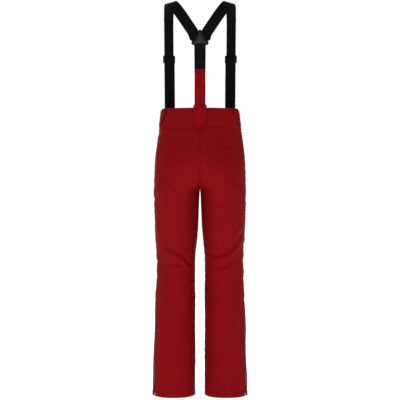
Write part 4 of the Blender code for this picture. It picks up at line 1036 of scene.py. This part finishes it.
def waist_pieces():
    slack = 0.0035
    soft_band("back_waistband_cloth", slack, math.pi - slack, 1, 190, Y, ["back_waistband"], 5)
    for word, side in SIDES:
        centre = math.pi / 2 - SEAM_GAP / 2 / 0.141
        soft_band(f"{word}_front_waistband_cloth", -slack, -centre, side, 96,
                  (side, -1, 0), [f"{word}_front_waistband"], 7 + side)
        front, foot_end, top_end = SIDE_TAB
        grid, _, angle = waist_grid(
            front, lambda level: foot_end + (top_end - foot_end) * level,
            SEAM_Z + SIDE_TAB_MARGIN, SIDE_TAB_STAND_OFF + 0.0006, side, 20, 34, SIDE_TAB_MARGIN)
        lift = 0.0012 * ramp(angle, foot_end - 0.1, top_end)
        normal = np.stack([side * np.cos(angle), np.sin(angle), 0 * angle], axis=-1)
        grid = grid + normal * (lift + 0.0004 * waves(grid, 0.022, 61 + side))[..., None]
        tab = cloth_sheet(f"{word}_side_tab", grid, FACING_THICKNESS, (TAB, LINING), (side, 0, 0))
        keep(tab, "trousers", "red_shell_cloth", f"{word}_waist_tab")


FLAP_REACH = (-0.032, 0.034)
FLAP_STAND_OFF = 0.0032
STUD_X = 0.020
STUD_DROPS = (("upper", 0.0365), ("lower", 0.0575))


def closure_pieces():
    """The flap over the top of the fly, with two press studs in it."""
    top, foot = -FRONT_DROP - 0.001, SEAM_Z + 0.001
    z = np.linspace(foot, top, 24)[:, None]
    x = np.linspace(*FLAP_REACH, 34)[None]
    proud = FLAP_STAND_OFF + FACING_THICKNESS
    half, depth = (section(z)[k] + proud for k in (1, 2))
    y = -depth * np.sqrt(1 - (x / half) ** 2)
    grid = np.stack(np.broadcast_arrays(x, y, z), axis=-1)
    grid[..., 1] -= 0.0006 * waves(grid, 0.020, 71)
    flap = cloth_sheet("fly_flap", grid, FACING_THICKNESS, (TAB, LINING), -Y)
    keep(flap, "closure", "red_shell_cloth", "closure_flap")
    cap = [(0, .0031), (.0020, .0030), (.0022, .0027), (.0042, .0027), (.0046, .0031),
           (.0062, .0029), (.0069, .0022), (.0070, .0014), (.0066, .0010), (0, .0010)]
    post = [(0, .0016), (.0021, .0016), (.0021, -.0004), (.0052, -.0004), (.0055, -.0007),
            (.0055, -.0012), (.0050, -.0013), (.0019, -.0013), (.0018, -.0006), (0, -.0006)]
    stud = [(0, .0014), (.0010, .0014), (.0014, .0011), (.0013, .0002), (.0014, .00005),
            (.0050, .00005), (.0055, -.0002), (.0055, -.0007), (0, -.0007)]
    for word, drop in STUD_DROPS:
        box = np.array(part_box(f"snap_cap_{word}"))
        middle = box.mean(axis=0)
        _, half, depth, _ = section(-drop)
        slope = middle[0] / half**2 * depth**2 / middle[1]
        outward = unit(np.array([slope, -1.0, 0.0]))
        across = np.cross(Z, outward)
        base = np.array([STUD_X, 0, -drop])
        base[1] = -(depth + FLAP_STAND_OFF) * math.sqrt(1 - (STUD_X / (half + FLAP_STAND_OFF)) ** 2)
        cloth_top = base + outward * 0.0009
        metal = [placed(turned(shape), cloth_top, across, Z, outward) for shape in (cap, post)]
        keep(moulded(f"press_stud_cap_{word}", metal, [METAL]), "closure", "dark_metal",
             f"snap_cap_{word}")
        under = base - outward * 0.0021
        lower = [placed(turned(stud), under, across, Z, outward)]
        keep(moulded(f"press_stud_base_{word}", lower, [METAL]), "trousers", "dark_metal",
             f"snap_stud_{word}")


# ---------------------------------------------------------------- zips

SLIDER_RIDE = 0.0055 + 0.0004
PIN_LIFT = 0.0049
TEETH_PITCH = 0.0013


def coil_shape(length):
    """Two rows of loops side by side along local Y.

    Across is half the width times the cosine of a turn, and up is a low arch whose height
    is cut by a sine along the length, shifted half a pitch between the two rows.
    """
    rows = int(length / TEETH_PITCH) * 6 + 1
    y = np.linspace(0, length, rows)[:, None]
    turn = np.linspace(0, 2 * np.pi, 18, endpoint=False)[None]
    c, s = np.cos(turn), np.sin(turn)
    phase = 2 * np.pi * y / TEETH_PITCH + np.pi * (c > 0)
    groove = 0.5 + 0.5 * np.cos(phase)
    dip = np.exp(-(c / 0.18) ** 2)
    x = 0.0028 * np.sign(c) * np.abs(c) ** 0.8 * (1 - 0.10 * groove)
    up = 0.0002 + 0.0014 * s * (1 - 0.30 * groove - 0.25 * dip * (s > 0))
    grid = np.stack(np.broadcast_arrays(x, y, up), axis=-1)
    quads = grid_quads(rows, 18, round_columns=True)
    cap = end_quads(18)
    quads = np.concatenate([quads, cap[:, ::-1], cap + (rows - 1) * 18])
    pairs = np.stack(np.broadcast_arrays(x, y), axis=-1).reshape(-1, 2)
    return outside_out(grid.reshape(-1, 3), quads, pairs)


def zip_pieces(name, line, length, slider_at, body):
    """The tape and coil on one body, the slider on its own, and the pull on the slider."""
    origin, along, outward, room = line
    across = np.cross(along, outward)
    depth = CLOTH + room + 0.0020
    tape_path = np.linspace((0, 0, -depth - 0.0004), (0, length, -depth - 0.0004), 60)
    tape = swept(tape_path, X, box_loop(TAPE_WIDTH / 2, 0.0004, 0.0003, 8, 2))
    wall_path = tape_path + (0, 0, depth / 2)
    wall = swept(wall_path, X, box_loop(0.0020, depth / 2, 0.0004, 2, 2))
    shapes = [placed(shape, origin, across, along, outward)
              for shape in (coil_shape(length), tape, wall)]
    chain = moulded(f"{name}_coil_and_tape", shapes, [COIL, TAPE], [0, 1, 1])
    keep(chain, body, "black_zip_coil", f"{name}_chain")

    at = origin + along * slider_at
    plate = rounded_block((0.0042, 0.0055, 0.0009), 0.35)
    plate = (plate[0] * (1 - 0.18 * plate[0][:, 1:2] / 0.0055 * X) + (0, 0, 0.0024), *plate[1:])
    flange = []
    for sign in (-1, 1):
        rail = rounded_block((0.0006, 0.0050, 0.0006), 0.4)
        flange.append((rail[0] + (sign * 0.0035, 0, 0.0020), *rail[1:]))
    turn = np.linspace(0, np.pi, 13)
    arch = np.stack([0 * turn, 0.0036 * np.cos(turn), 0.0030 + 0.0026 * np.sin(turn)], axis=-1)
    bridge = swept(arch, X, oval_loop(0.0012, 0.0005, 12, 0.7))
    body_shapes = [placed(s, at, across, along, outward) for s in (plate, bridge, *flange)]
    slider = moulded(f"{name}_slide_body", body_shapes, [PLASTIC])
    keep(slider, f"{name.replace('_zip', '')}_slider", "black_plastic", f"{name}_slider")

    eye_turn = np.linspace(0, 2 * np.pi, 24, endpoint=False)
    eye = np.stack([0.0016 * np.cos(eye_turn), 0.0016 * np.sin(eye_turn) - 0.0004,
                    0 * eye_turn], axis=-1)
    ring = swept(eye, Z, oval_loop(0.0005, 0.0005, 8), closed=True)
    t = np.linspace(0, 1, 30)
    width = 0.0022 * (0.55 + 0.45 * ramp(t, 0, 0.25)) * np.sqrt(np.clip(1 - ((t - 0.9) / 0.1)
            .clip(0, 1) ** 2, 0.02, 1))
    thin = 0.0007 * (1 - 0.25 * np.exp(-((t - 0.55) / 0.25) ** 2))
    loop = box_loop(1, 1, 0.45, 4, 3)
    loops = loop[None] * np.stack([width, thin], axis=-1)[:, None]
    tab_path = np.stack([0 * t, -0.0017 - 0.0200 * t, 0 * t], axis=-1)
    grip = swept(tab_path, X, loops)
    pin = at + outward * PIN_LIFT
    pull = moulded(f"{name}_pull_tab", [placed(s, pin, across, along, outward)
                                        for s in (ring, grip)], [PLASTIC])
    keep(pull, f"{name.replace('_zip', '')}_pull", "black_plastic", f"{name}_pull")


def all_zips():
    fly_length = FLY_TOP_Z - FLY_FOOT_Z
    zip_pieces("fly_zip", fly_line(), fly_length, fly_length - SLIDER_RIDE, "trousers")
    for word, side in SIDES:
        zip_pieces(f"{word}_pocket_zip", pocket_line(side), POCKET_LENGTH,
                   POCKET_LENGTH - SLIDER_RIDE, "trousers")
        zip_pieces(f"{word}_ankle_zip", ankle_line(side), ANKLE_ZIP_LENGTH, SLIDER_RIDE,
                   f"{word}_lower_leg")


# ---------------------------------------------------------------- inside

INNER_DEPTH = 0.0115
GAITER_RADIUS, GAITER_INSET = 0.060, 0.012


def inner_pieces():
    z = np.linspace(FLY_FOOT_Z - 0.012, SEAM_Z - 0.004, 60)[:, None]
    x = np.linspace(-0.020, 0.020, 18)[None]
    grid = np.stack(np.broadcast_arrays(x, INNER_DEPTH - section(z)[2], z), axis=-1).copy()
    grid[..., 1] += 0.0005 * waves(grid, 0.030, 81)
    facing = cloth_sheet("fly_facing", grid, FACING_THICKNESS, (FACING, LINING), -Y)
    keep(facing, "trousers", "red_facing_cloth", "fly_underlap")
    for word, side in SIDES:
        z = np.linspace(SEAM_Z - 0.221, SEAM_Z - 0.006, 60)[:, None]
        angle = np.linspace(math.radians(-66), math.radians(-26), 34)[None]
        round_foot = 0.25 * np.clip((SEAM_Z - 0.190 - z) / 0.031, 0, 1) ** 2
        middle = math.radians(-46)
        angle = middle + (angle - middle) * (1 - round_foot)
        grid = cloth_at(z, angle, -INNER_DEPTH, side)
        grid = grid * (1 + 0.004 * waves(grid, 0.045, 83 + side)[..., None] * (1, 1, 0))
        bag = cloth_sheet(f"{word}_pocket_lining", grid, 0.0015, (LINING,), (side, -1, 0))
        keep(bag, "trousers", "black_lining", f"{word}_pocket_bag")
        gaiter(word, side)


def gaiter(word, side):
    """An inner cuff. Its radius grows from the elastic foot to the sewn top, and gathers,
    cosines round the leg, fade from the foot upwards."""
    share = np.linspace(0, 1, 64)[:, None]
    z = HEM_Z + 0.016 + 0.215 * share
    angle = np.linspace(0, 2 * np.pi, 169)[None]
    middle, half, front, back = section(z)
    ease = share**0.6
    depth = np.where(angle < np.pi, back, front)
    wide = GAITER_RADIUS + (half - GAITER_INSET - GAITER_RADIUS) * ease
    deep = GAITER_RADIUS + (depth - GAITER_INSET - GAITER_RADIUS) * ease
    elastic = ramp(0.09 - share, 0, 0.015)
    gathers = np.cos(28 * angle + 1.2 * np.sin(3 * angle)) * (0.0012 * np.exp(-share / 0.22))
    band = elastic * 0.0006 * np.cos(84 * angle) + 0.0007 * elastic
    slack = 0.0016 * np.sin(2 * angle + 5 * share) * np.sin(np.pi * share)
    grow = gathers * (1 - 0.6 * elastic) + band + slack
    grid = np.stack(np.broadcast_arrays(side * (middle + (wide + grow) * np.cos(angle)),
                                        (deep + grow) * np.sin(angle), z), axis=-1).copy()
    grid[:, -1] = grid[:, 0]
    cuff = cloth_sheet(f"{word}_snow_gaiter", grid, 0.0015, (LINING,), -X * side, closed=True)
    keep(cuff, f"{word}_lower_leg", "black_lining", f"{word}_gaiter")


# ---------------------------------------------------------------- braces

STRAP_WIDTH, STRAP_THICKNESS = 0.040, 0.0018
BACK_RISE, BACK_LEAN = 0.011, 0.068
BACK_END_Y = 0.118 + 0.0044
CLOTH_TOP, ELASTIC_FOOT = 0.1400, 0.1260
YOKE_Z, YOKE_BAR_DROP = 0.2480, 0.0200
YOKE_MIDDLE = np.array([0.0, BACK_END_Y - BACK_LEAN * (YOKE_Z - BACK_RISE), YOKE_Z])
TILT = math.atan(BACK_LEAN)
YOKE_UP = np.array([0.0, -math.sin(TILT), math.cos(TILT)])
YOKE_OUT = np.array([0.0, math.cos(TILT), math.sin(TILT)])
EYE = 0.0034
# The shoulder strap's middle line past the yoke, then over the shoulder to the front.
SHOULDER_ROUTE = (
    (0.0250, 0.1000, 0.2730), (0.0390, 0.0965, 0.2950), (0.0575, 0.0880, 0.3230),
    (0.0735, 0.0750, 0.3470), (0.0885, 0.0570, 0.3680), (0.1005, 0.0350, 0.3830),
    (0.1085, 0.0060, 0.3920), (0.1130, -0.0290, 0.3870), (0.1155, -0.0590, 0.3690),
)
DIAGONAL, SHOULDER = np.array([0.829, 0.0, -0.559]), np.array([0.904, 0.0, -0.427])
FRONT_YAW, FRONT_LEAN = math.radians(32), 0.014
FRONT_ACROSS = np.array([math.cos(FRONT_YAW), math.sin(FRONT_YAW), 0.0])
FRONT_OUT = np.array([math.sin(FRONT_YAW), -math.cos(FRONT_YAW), 0.0])
FRONT_FOOT = np.array([0.113044, -0.074401, 0.0])
RING_TOP, RING_HEIGHT, RING_BAR = 0.005, 0.021, 0.0026
RING_LOOP = RING_BAR / math.sqrt(2) + 0.0004 + STRAP_THICKNESS / 2
RISE_FROM = RING_TOP - RING_BAR / 2
ADJUSTER_Z = 0.189


def back_y(z):
    return BACK_END_Y - BACK_LEAN * np.maximum(0, z - BACK_RISE)


def front_strap(z):
    """The middle of a left front strap at heights, straight from the ring upwards."""
    z = np.asarray(z, float)
    off = RING_LOOP + FRONT_LEAN * np.maximum(0, z - RISE_FROM)
    return FRONT_FOOT + FRONT_OUT * off[..., None] + Z * z[..., None]


def strap(name, path, across, half_width, finish, thickness=STRAP_THICKNESS):
    """A flat strap with soft edges: a thin rounded outline carried along the path."""
    count = len(path)
    half = np.broadcast_to(np.asarray(half_width, float), (count,))
    unit_loop = box_loop(1, 1, 0.02, 18, 3)
    edge = np.abs(unit_loop[:, 0])
    thin = thickness / 2 * (1 - 0.30 * ramp(edge, 0.93, 1.0))
    loops = np.stack([unit_loop[None, :, 0] * half[:, None],
                      np.broadcast_to(unit_loop[:, 1] * thin, (count, len(unit_loop)))], axis=-1)
    points, quads, pairs = swept(path, across, loops)
    side_gap = np.repeat(half, len(unit_loop)) - np.abs(pairs[:, 0])
    run = pairs[:, 1]
    edges = np.stack([side_gap, np.minimum(run, run.max() - run)], axis=-1)
    obj = piece(name, points, quads, [finish], {"cloth": pairs[quads], "edges": edges[quads]},
                sharp=60)
    return obj, float(2 * half.mean()), float(run.max())


def round_bar(bar, outward, onward, radius, degrees):
    """Points round a bar, from its outward side (0 degrees) past the side onward faces."""
    turn = np.radians(degrees)[:, None]
    return bar + radius * (np.cos(turn) * outward + np.sin(turn) * onward)


def back_pieces():
    z = np.linspace(SEAM_Z + 0.008, CLOTH_TOP, 90)
    half = 0.0120 + 0.0077 * ramp(z, -0.022, 0.008)
    path = np.stack([0 * z, back_y(z) + 0.0006 * np.sin(z * 60), z], axis=-1)
    cloth, width, length = strap("back_strap_red", path, X, half, STRAP_CLOTH)
    keep(cloth, "braces", "red_shell_cloth", "back_strap_cloth")

    bar = YOKE_MIDDLE - YOKE_UP * YOKE_BAR_DROP
    z = np.linspace(ELASTIC_FOOT, bar[2] - 0.020, 42)
    step = (STRAP_THICKNESS + 0.0004) * (1 - ramp(z, CLOTH_TOP, CLOTH_TOP + 0.03))
    low = np.stack([0 * z, back_y(z) - step, z], axis=-1)
    arrive = round_bar(bar, YOKE_OUT, YOKE_UP, EYE, np.array([0.0]))
    rise = through(np.concatenate([low[-2:], arrive - YOKE_UP * 0.006, arrive]), 14)[3:-1]
    over = round_bar(bar, YOKE_OUT, YOKE_UP, EYE, np.linspace(0, 180, 13))
    tail = over[-1] - YOKE_UP * np.linspace(0.002, 0.011, 5)[:, None] + YOKE_OUT * 0.0002
    path = np.concatenate([low, rise, over, tail])
    half = np.interp(np.arange(len(path)), [0, len(low)], [0.0198, 0.0207])
    elastic, width, length = strap("back_strap_black", path, X, half, ELASTIC)
    keep(elastic, "braces", "black_elastic", "back_strap_elastic")


def shoulder_pieces(word, side):
    lean = math.radians(60)
    toward = math.sin(lean) * X + math.cos(lean) * YOKE_UP
    along_bar = math.cos(lean) * X - math.sin(lean) * YOKE_UP
    bar = YOKE_MIDDLE + toward * YOKE_BAR_DROP
    wrap = round_bar(bar, YOKE_OUT, -toward, EYE, np.linspace(180, 0, 13))
    tail = wrap[0] + toward * np.linspace(0.012, 0.002, 5)[:, None]
    first = wrap[-1] + toward * 0.006 - YOKE_OUT * 0.0006
    lie = [along_bar, along_bar, *[DIAGONAL] * 4, (DIAGONAL + SHOULDER) / 2, SHOULDER,
           SHOULDER * 0.65 + FRONT_ACROSS * 0.35, SHOULDER * 0.25 + FRONT_ACROSS * 0.75,
           FRONT_ACROSS]
    heights = np.array([0.335, 0.330, 0.290, 0.240, 0.180, 0.120, 0.060, 0.030, RISE_FROM + 0.004])
    knots = np.concatenate([[wrap[-1]], [first], SHOULDER_ROUTE, front_strap(heights)])
    lie = np.concatenate([lie, np.repeat(FRONT_ACROSS[None], len(heights), axis=0)])[:len(knots)]
    long_run = through(np.concatenate([knots, lie], axis=1), 330)
    ring_bar = FRONT_FOOT + Z * RISE_FROM
    down = round_bar(ring_bar, FRONT_OUT, -Z, RING_LOOP, np.linspace(0, 88, 9))
    path = np.concatenate([tail, wrap, long_run[1:, :3], down])
    across = np.concatenate([np.repeat(along_bar[None], len(tail) + len(wrap), axis=0),
                             long_run[1:, 3:], np.repeat(FRONT_ACROSS[None], len(down), axis=0)])
    drift = 0.0009 * np.sin(np.linspace(0, 22, len(path)))[:, None]
    step = np.arange(len(path))
    calm = np.clip(np.minimum(step - 30, len(path) - 200 - step) / 20, 0, 1)
    path = path + unit(np.cross(across, np.gradient(path, axis=0))) * drift * calm[:, None]
    black, width, length = strap(f"{word}_brace_elastic", mirrored(path, side),
                                 mirrored(across, side), STRAP_WIDTH / 2, ELASTIC)
    keep(black, "braces", "black_elastic", f"{word}_shoulder_strap")

    under = round_bar(ring_bar, FRONT_OUT, -Z, RING_LOOP, np.linspace(92, 180, 9))
    back = FRONT_OUT * (2 * RING_LOOP + 0.0010)
    z = np.linspace(RISE_FROM + 0.012, ADJUSTER_Z - 0.012, 60)
    climb = front_strap(z) - back
    rise = unit(Z + FRONT_OUT * FRONT_LEAN)
    slide_bar = front_strap(ADJUSTER_Z) - FRONT_OUT * (2 * RING_LOOP - 0.0023)
    inside = slide_bar + round_bar(0 * Z, -FRONT_OUT, rise, 0.0023, np.linspace(0, 90, 7))
    inside += rise * 0.0018
    path = np.concatenate([under, climb, [slide_bar - FRONT_OUT * 0.0023 - rise * 0.003], inside])
    tail_piece, width, length = strap(f"{word}_brace_return", mirrored(path, side),
                                      mirrored(FRONT_ACROSS, side), STRAP_WIDTH / 2, ELASTIC)
    keep(tail_piece, "braces", "black_elastic", f"{word}_strap_return")

    # The red tab runs up out of its sleeve, round the ring's lower bar and down again.
    low_bar = FRONT_FOOT + Z * (RING_TOP - RING_HEIGHT + RING_BAR / 2)
    foot = low_bar[2] - 0.045
    z = np.linspace(foot, low_bar[2] - 0.004, 30)
    spread = 0.00095 + (RING_LOOP - 0.00095) * ramp(z, low_bar[2] - 0.014, low_bar[2] - 0.003)
    outer = FRONT_FOOT + FRONT_OUT * spread[:, None] + Z * z[:, None]
    turn = round_bar(low_bar, FRONT_OUT, Z, RING_LOOP, np.linspace(0, 180, 15))
    inner = FRONT_FOOT - FRONT_OUT * spread[::-1, None] + Z * z[::-1, None]
    path = np.concatenate([outer, turn, inner])
    tab, width, length = strap(f"{word}_brace_tab", mirrored(path, side),
                               mirrored(FRONT_ACROSS, side), 0.016, STRAP_CLOTH, 0.0017)
    keep(tab, "braces", "red_shell_cloth", f"{word}_front_tab")


def softened(name, source, finish, width=0.0005):
    """A moulded piece: the solid's own shape, its edges rounded by the width."""
    work = bmesh.new()
    work.from_mesh(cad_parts[source].data)
    bmesh.ops.remove_doubles(work, verts=work.verts, dist=1e-6)
    bmesh.ops.dissolve_limit(work, angle_limit=math.radians(1), verts=work.verts, edges=work.edges)
    edges = [e for e in work.edges if e.is_manifold and e.calc_face_angle(0) > math.radians(40)]
    bmesh.ops.bevel(work, geom=edges, offset=width, segments=2, profile=0.6, affect="EDGES",
                    clamp_overlap=True)
    mesh = bpy.data.meshes.new(name)
    work.to_mesh(mesh)
    work.free()
    mesh.materials.clear()
    mesh.materials.append(finish)
    mesh.polygons.foreach_set("use_smooth", np.full(len(mesh.polygons), True))
    mesh.set_sharp_from_angle(angle=math.radians(32))
    obj = bpy.data.objects.new(name, mesh)
    bpy.context.scene.collection.objects.link(obj)
    return obj


def hollow_triangle(reach, hollow, levels, steps=18):
    """A raised three-sided mark. Each side's points are pulled to the middle by the hollow
    times 4 t (1 - t), with t the share along the side; the rim steps down through levels
    of (share of the size, height)."""
    corners = reach * np.array([(math.sin(a), math.cos(a)) for a in np.radians((0, 120, 240))])
    t = np.linspace(0.04, 0.96, steps)[:, None]
    sides = []
    for a, b in zip(corners, np.roll(corners, -1, axis=0)):
        inward = -unit((a + b) / 2)
        sides.append(a * (1 - t) + b * t + inward * hollow * 4 * t * (1 - t))
    outline = np.concatenate(sides)
    rows = [np.column_stack([share * outline, np.full(len(outline), height)])
            for share, height in levels]
    rows.append(rows[-1] * (0, 0, 1))
    return poled(np.stack(rows))


MARK_REACH, MARK_HOLLOW, MARK_DROP = 0.0240, 0.0022, 0.0018
COVER_REACH = 0.0318


def yoke_mark():
    """A thin cover over the slots' inner sides and, on it, the hollow-sided mark."""
    face = YOKE_MIDDLE + YOKE_OUT * 0.0017
    cover = hollow_triangle(COVER_REACH, 0.0,
                            [(0, .0009), (.93, .0009), (.98, .0007), (1, .0004), (1, 0)])
    mark = hollow_triangle(MARK_REACH, MARK_HOLLOW,
                           [(0, .0007), (.80, .0007), (.93, .0006), (1, .0003), (1, 0)])
    return [placed(cover, face, -X, YOKE_UP, YOKE_OUT),
            placed(mark, face + YOKE_OUT * 0.0008 - YOKE_UP * MARK_DROP, -X, YOKE_UP, YOKE_OUT)]


def braces():
    back_pieces()
    for word, side in SIDES:
        shoulder_pieces(word, side)
        slide = softened(f"{word}_brace_slide", f"{word}_adjuster", PLASTIC, 0.0004)
        keep(slide, f"{word}_slide", "black_plastic", f"{word}_adjuster")
        ring = softened(f"{word}_brace_ring", f"{word}_ring", PLASTIC, 0.0005)
        keep(ring, "braces", "black_plastic", f"{word}_ring")
    plate = softened("yoke_plate", "yoke", PLASTIC, 0.0004)
    keep(plate, "braces", "black_plastic", "yoke")
    badge = moulded("yoke_raised_mark", yoke_mark(), [PLASTIC, BADGE], [0, 1], sharp=60)
    keep(badge, "braces", "black_plastic")


def sleeve(name, middle, across, outward, ridge, outer, foot, top, node, seed):
    """A sleeve sewn on the waistband: a flat ridge over the strap whose sides slope down to
    the band. ridge and outer are its half widths at the foot and the top; with t the share
    of the way from the ridge's edge to the outer edge, the height falls as 1 - t^2 (3 - 2t).
    """
    level = np.linspace(0, 1, 30)[:, None]
    share = np.linspace(-1, 1, 65)[None]
    z = foot + (top - foot) * level
    widen = level**2 * (3 - 2 * level)
    inner = ridge[0] + (ridge[1] - ridge[0]) * widen
    edge = outer[0] + (outer[1] - outer[0]) * widen
    offset = edge * share
    lift = 1 - ramp(np.abs(offset), inner, edge)
    plate = middle + across * offset[..., None] + Z * np.zeros_like(z)[..., None]
    waist_z = np.minimum(z, -0.003)
    _, width, front, back = section(waist_z)
    depth = (back if outward[1] > 0 else front) + 0.0016
    width = width + 0.0016
    # Straight back from the plate to the band's ellipse.
    a = (outward[0] / width) ** 2 + (outward[1] / depth) ** 2
    b = plate[..., 0] * outward[0] / width**2 + plate[..., 1] * outward[1] / depth**2
    c = (plate[..., 0] / width) ** 2 + (plate[..., 1] / depth) ** 2 - 1
    back_by = (b - np.sqrt(np.maximum(b * b - a * c, 0))) / a
    grid = plate - outward * (back_by * (1 - lift))[..., None]
    grid[..., 2] = z
    belly = 0.0008 * np.sin(np.pi * level) * lift
    grid = grid + outward * (belly + 0.0005 * waves(grid, 0.016, seed) * lift)[..., None]
    obj = cloth_sheet(name, grid, 0.0016, (TAB, LINING), outward)
    keep(obj, "trousers", "red_shell_cloth", node)


def sleeves():
    sleeve("back_brace_sleeve", Y * (BACK_END_Y + 0.0037), -X, Y, (0.0150, 0.0208),
           (0.0228, 0.0238), SEAM_Z + 0.002, BACK_RISE, "back_sleeve", 91)
    for word, side in SIDES:
        out = mirrored(FRONT_OUT, side)
        middle = mirrored(FRONT_FOOT, side) + out * 0.0046
        sleeve(f"{word}_brace_sleeve", middle, mirrored(FRONT_ACROSS, side), out,
               (0.0172, 0.0172), (0.0205, 0.0205), SEAM_Z + 0.001, -0.024,
               f"{word}_front_sleeve", 93 + side)


# ---------------------------------------------------------------- the studio

WORLD_LIGHT = 0.46
# Name, place, size and watts.
LIGHTS = (
    ("Key light", (1.5, 3.4, -0.3), 1.6, 28.0),
    ("Fill light", (-2.0, 3.2, -0.85), 2.2, 19.0),
    ("Far side light", (0.8, -3.0, 1.2), 2.2, 42.0),
)
LIGHTS_AIM = Vector((0, 0, -0.35))
CAMERA_PLACE = Vector((0, 5.05, -0.203))
CAMERA_AIM = Vector((0, 0, -0.335))
LENS_LENGTH, SENSOR_WIDTH = 123.0, 36.0
FLOOR_REACH, FLOOR_GAP = 6.0, 0.0030
FLOOR_ROWS, FLOOR_STEPS = 24, 64


def aimed(direction):
    """The turn that points a lamp or a camera along a direction."""
    return direction.to_track_quat("-Z", "Y").to_euler()


def studio():
    scene = bpy.context.scene
    scene.view_settings.view_transform = "Standard"
    world = bpy.data.worlds.new("Studio")
    world.use_nodes = True
    scene.world = world
    tree = world.node_tree
    tree.nodes.clear()
    ray = node(tree, "ShaderNodeLightPath")
    soft = node(tree, "ShaderNodeBackground", {"Color": (1, 1, 1, 1), "Strength": WORLD_LIGHT})
    seen = node(tree, "ShaderNodeBackground", {"Color": (1, 1, 1, 1), "Strength": 1.0})
    mix = node(tree, "ShaderNodeMixShader", {0: ray.outputs["Is Camera Ray"], 1: soft.outputs[0],
                                             2: seen.outputs[0]})
    node(tree, "ShaderNodeOutputWorld", {0: mix.outputs[0]})

    turn = np.linspace(0, 2 * np.pi, FLOOR_STEPS, endpoint=False)[None]
    reach = np.linspace(0.0, FLOOR_REACH, FLOOR_ROWS)[:, None]
    grid = np.stack(np.broadcast_arrays(reach * np.cos(turn), reach * np.sin(turn),
                                        np.full_like(reach, HEM_Z - FLOOR_GAP)), axis=-1).copy()
    points, quads, pairs = poled(grid)
    quads = quads[(quads != (FLOOR_ROWS - 1) * FLOOR_STEPS).all(axis=1)]
    floor = piece("studio_floor", points, quads[:, ::-1], [FLOOR], {"cloth": pairs[quads]})

    for name, place, size, watts in LIGHTS:
        lamp = bpy.data.lights.new(name, "AREA")
        lamp.shape = "DISK"
        lamp.size = size
        lamp.energy = watts
        obj = bpy.data.objects.new(name, lamp)
        obj.location = place
        obj.rotation_euler = aimed(LIGHTS_AIM - Vector(place))
        scene.collection.objects.link(obj)

    lens = bpy.data.cameras.new("Camera")
    lens.lens = LENS_LENGTH
    lens.sensor_width = SENSOR_WIDTH
    camera = bpy.data.objects.new("Camera", lens)
    camera.location = CAMERA_PLACE
    camera.rotation_euler = aimed(CAMERA_AIM - CAMERA_PLACE)
    scene.collection.objects.link(camera)
    scene.camera = camera


for side_word, side_sign in SIDES:
    leg_shell(side_word, side_sign)
waist_pieces()
closure_pieces()
all_zips()
inner_pieces()
braces()
sleeves()
studio()
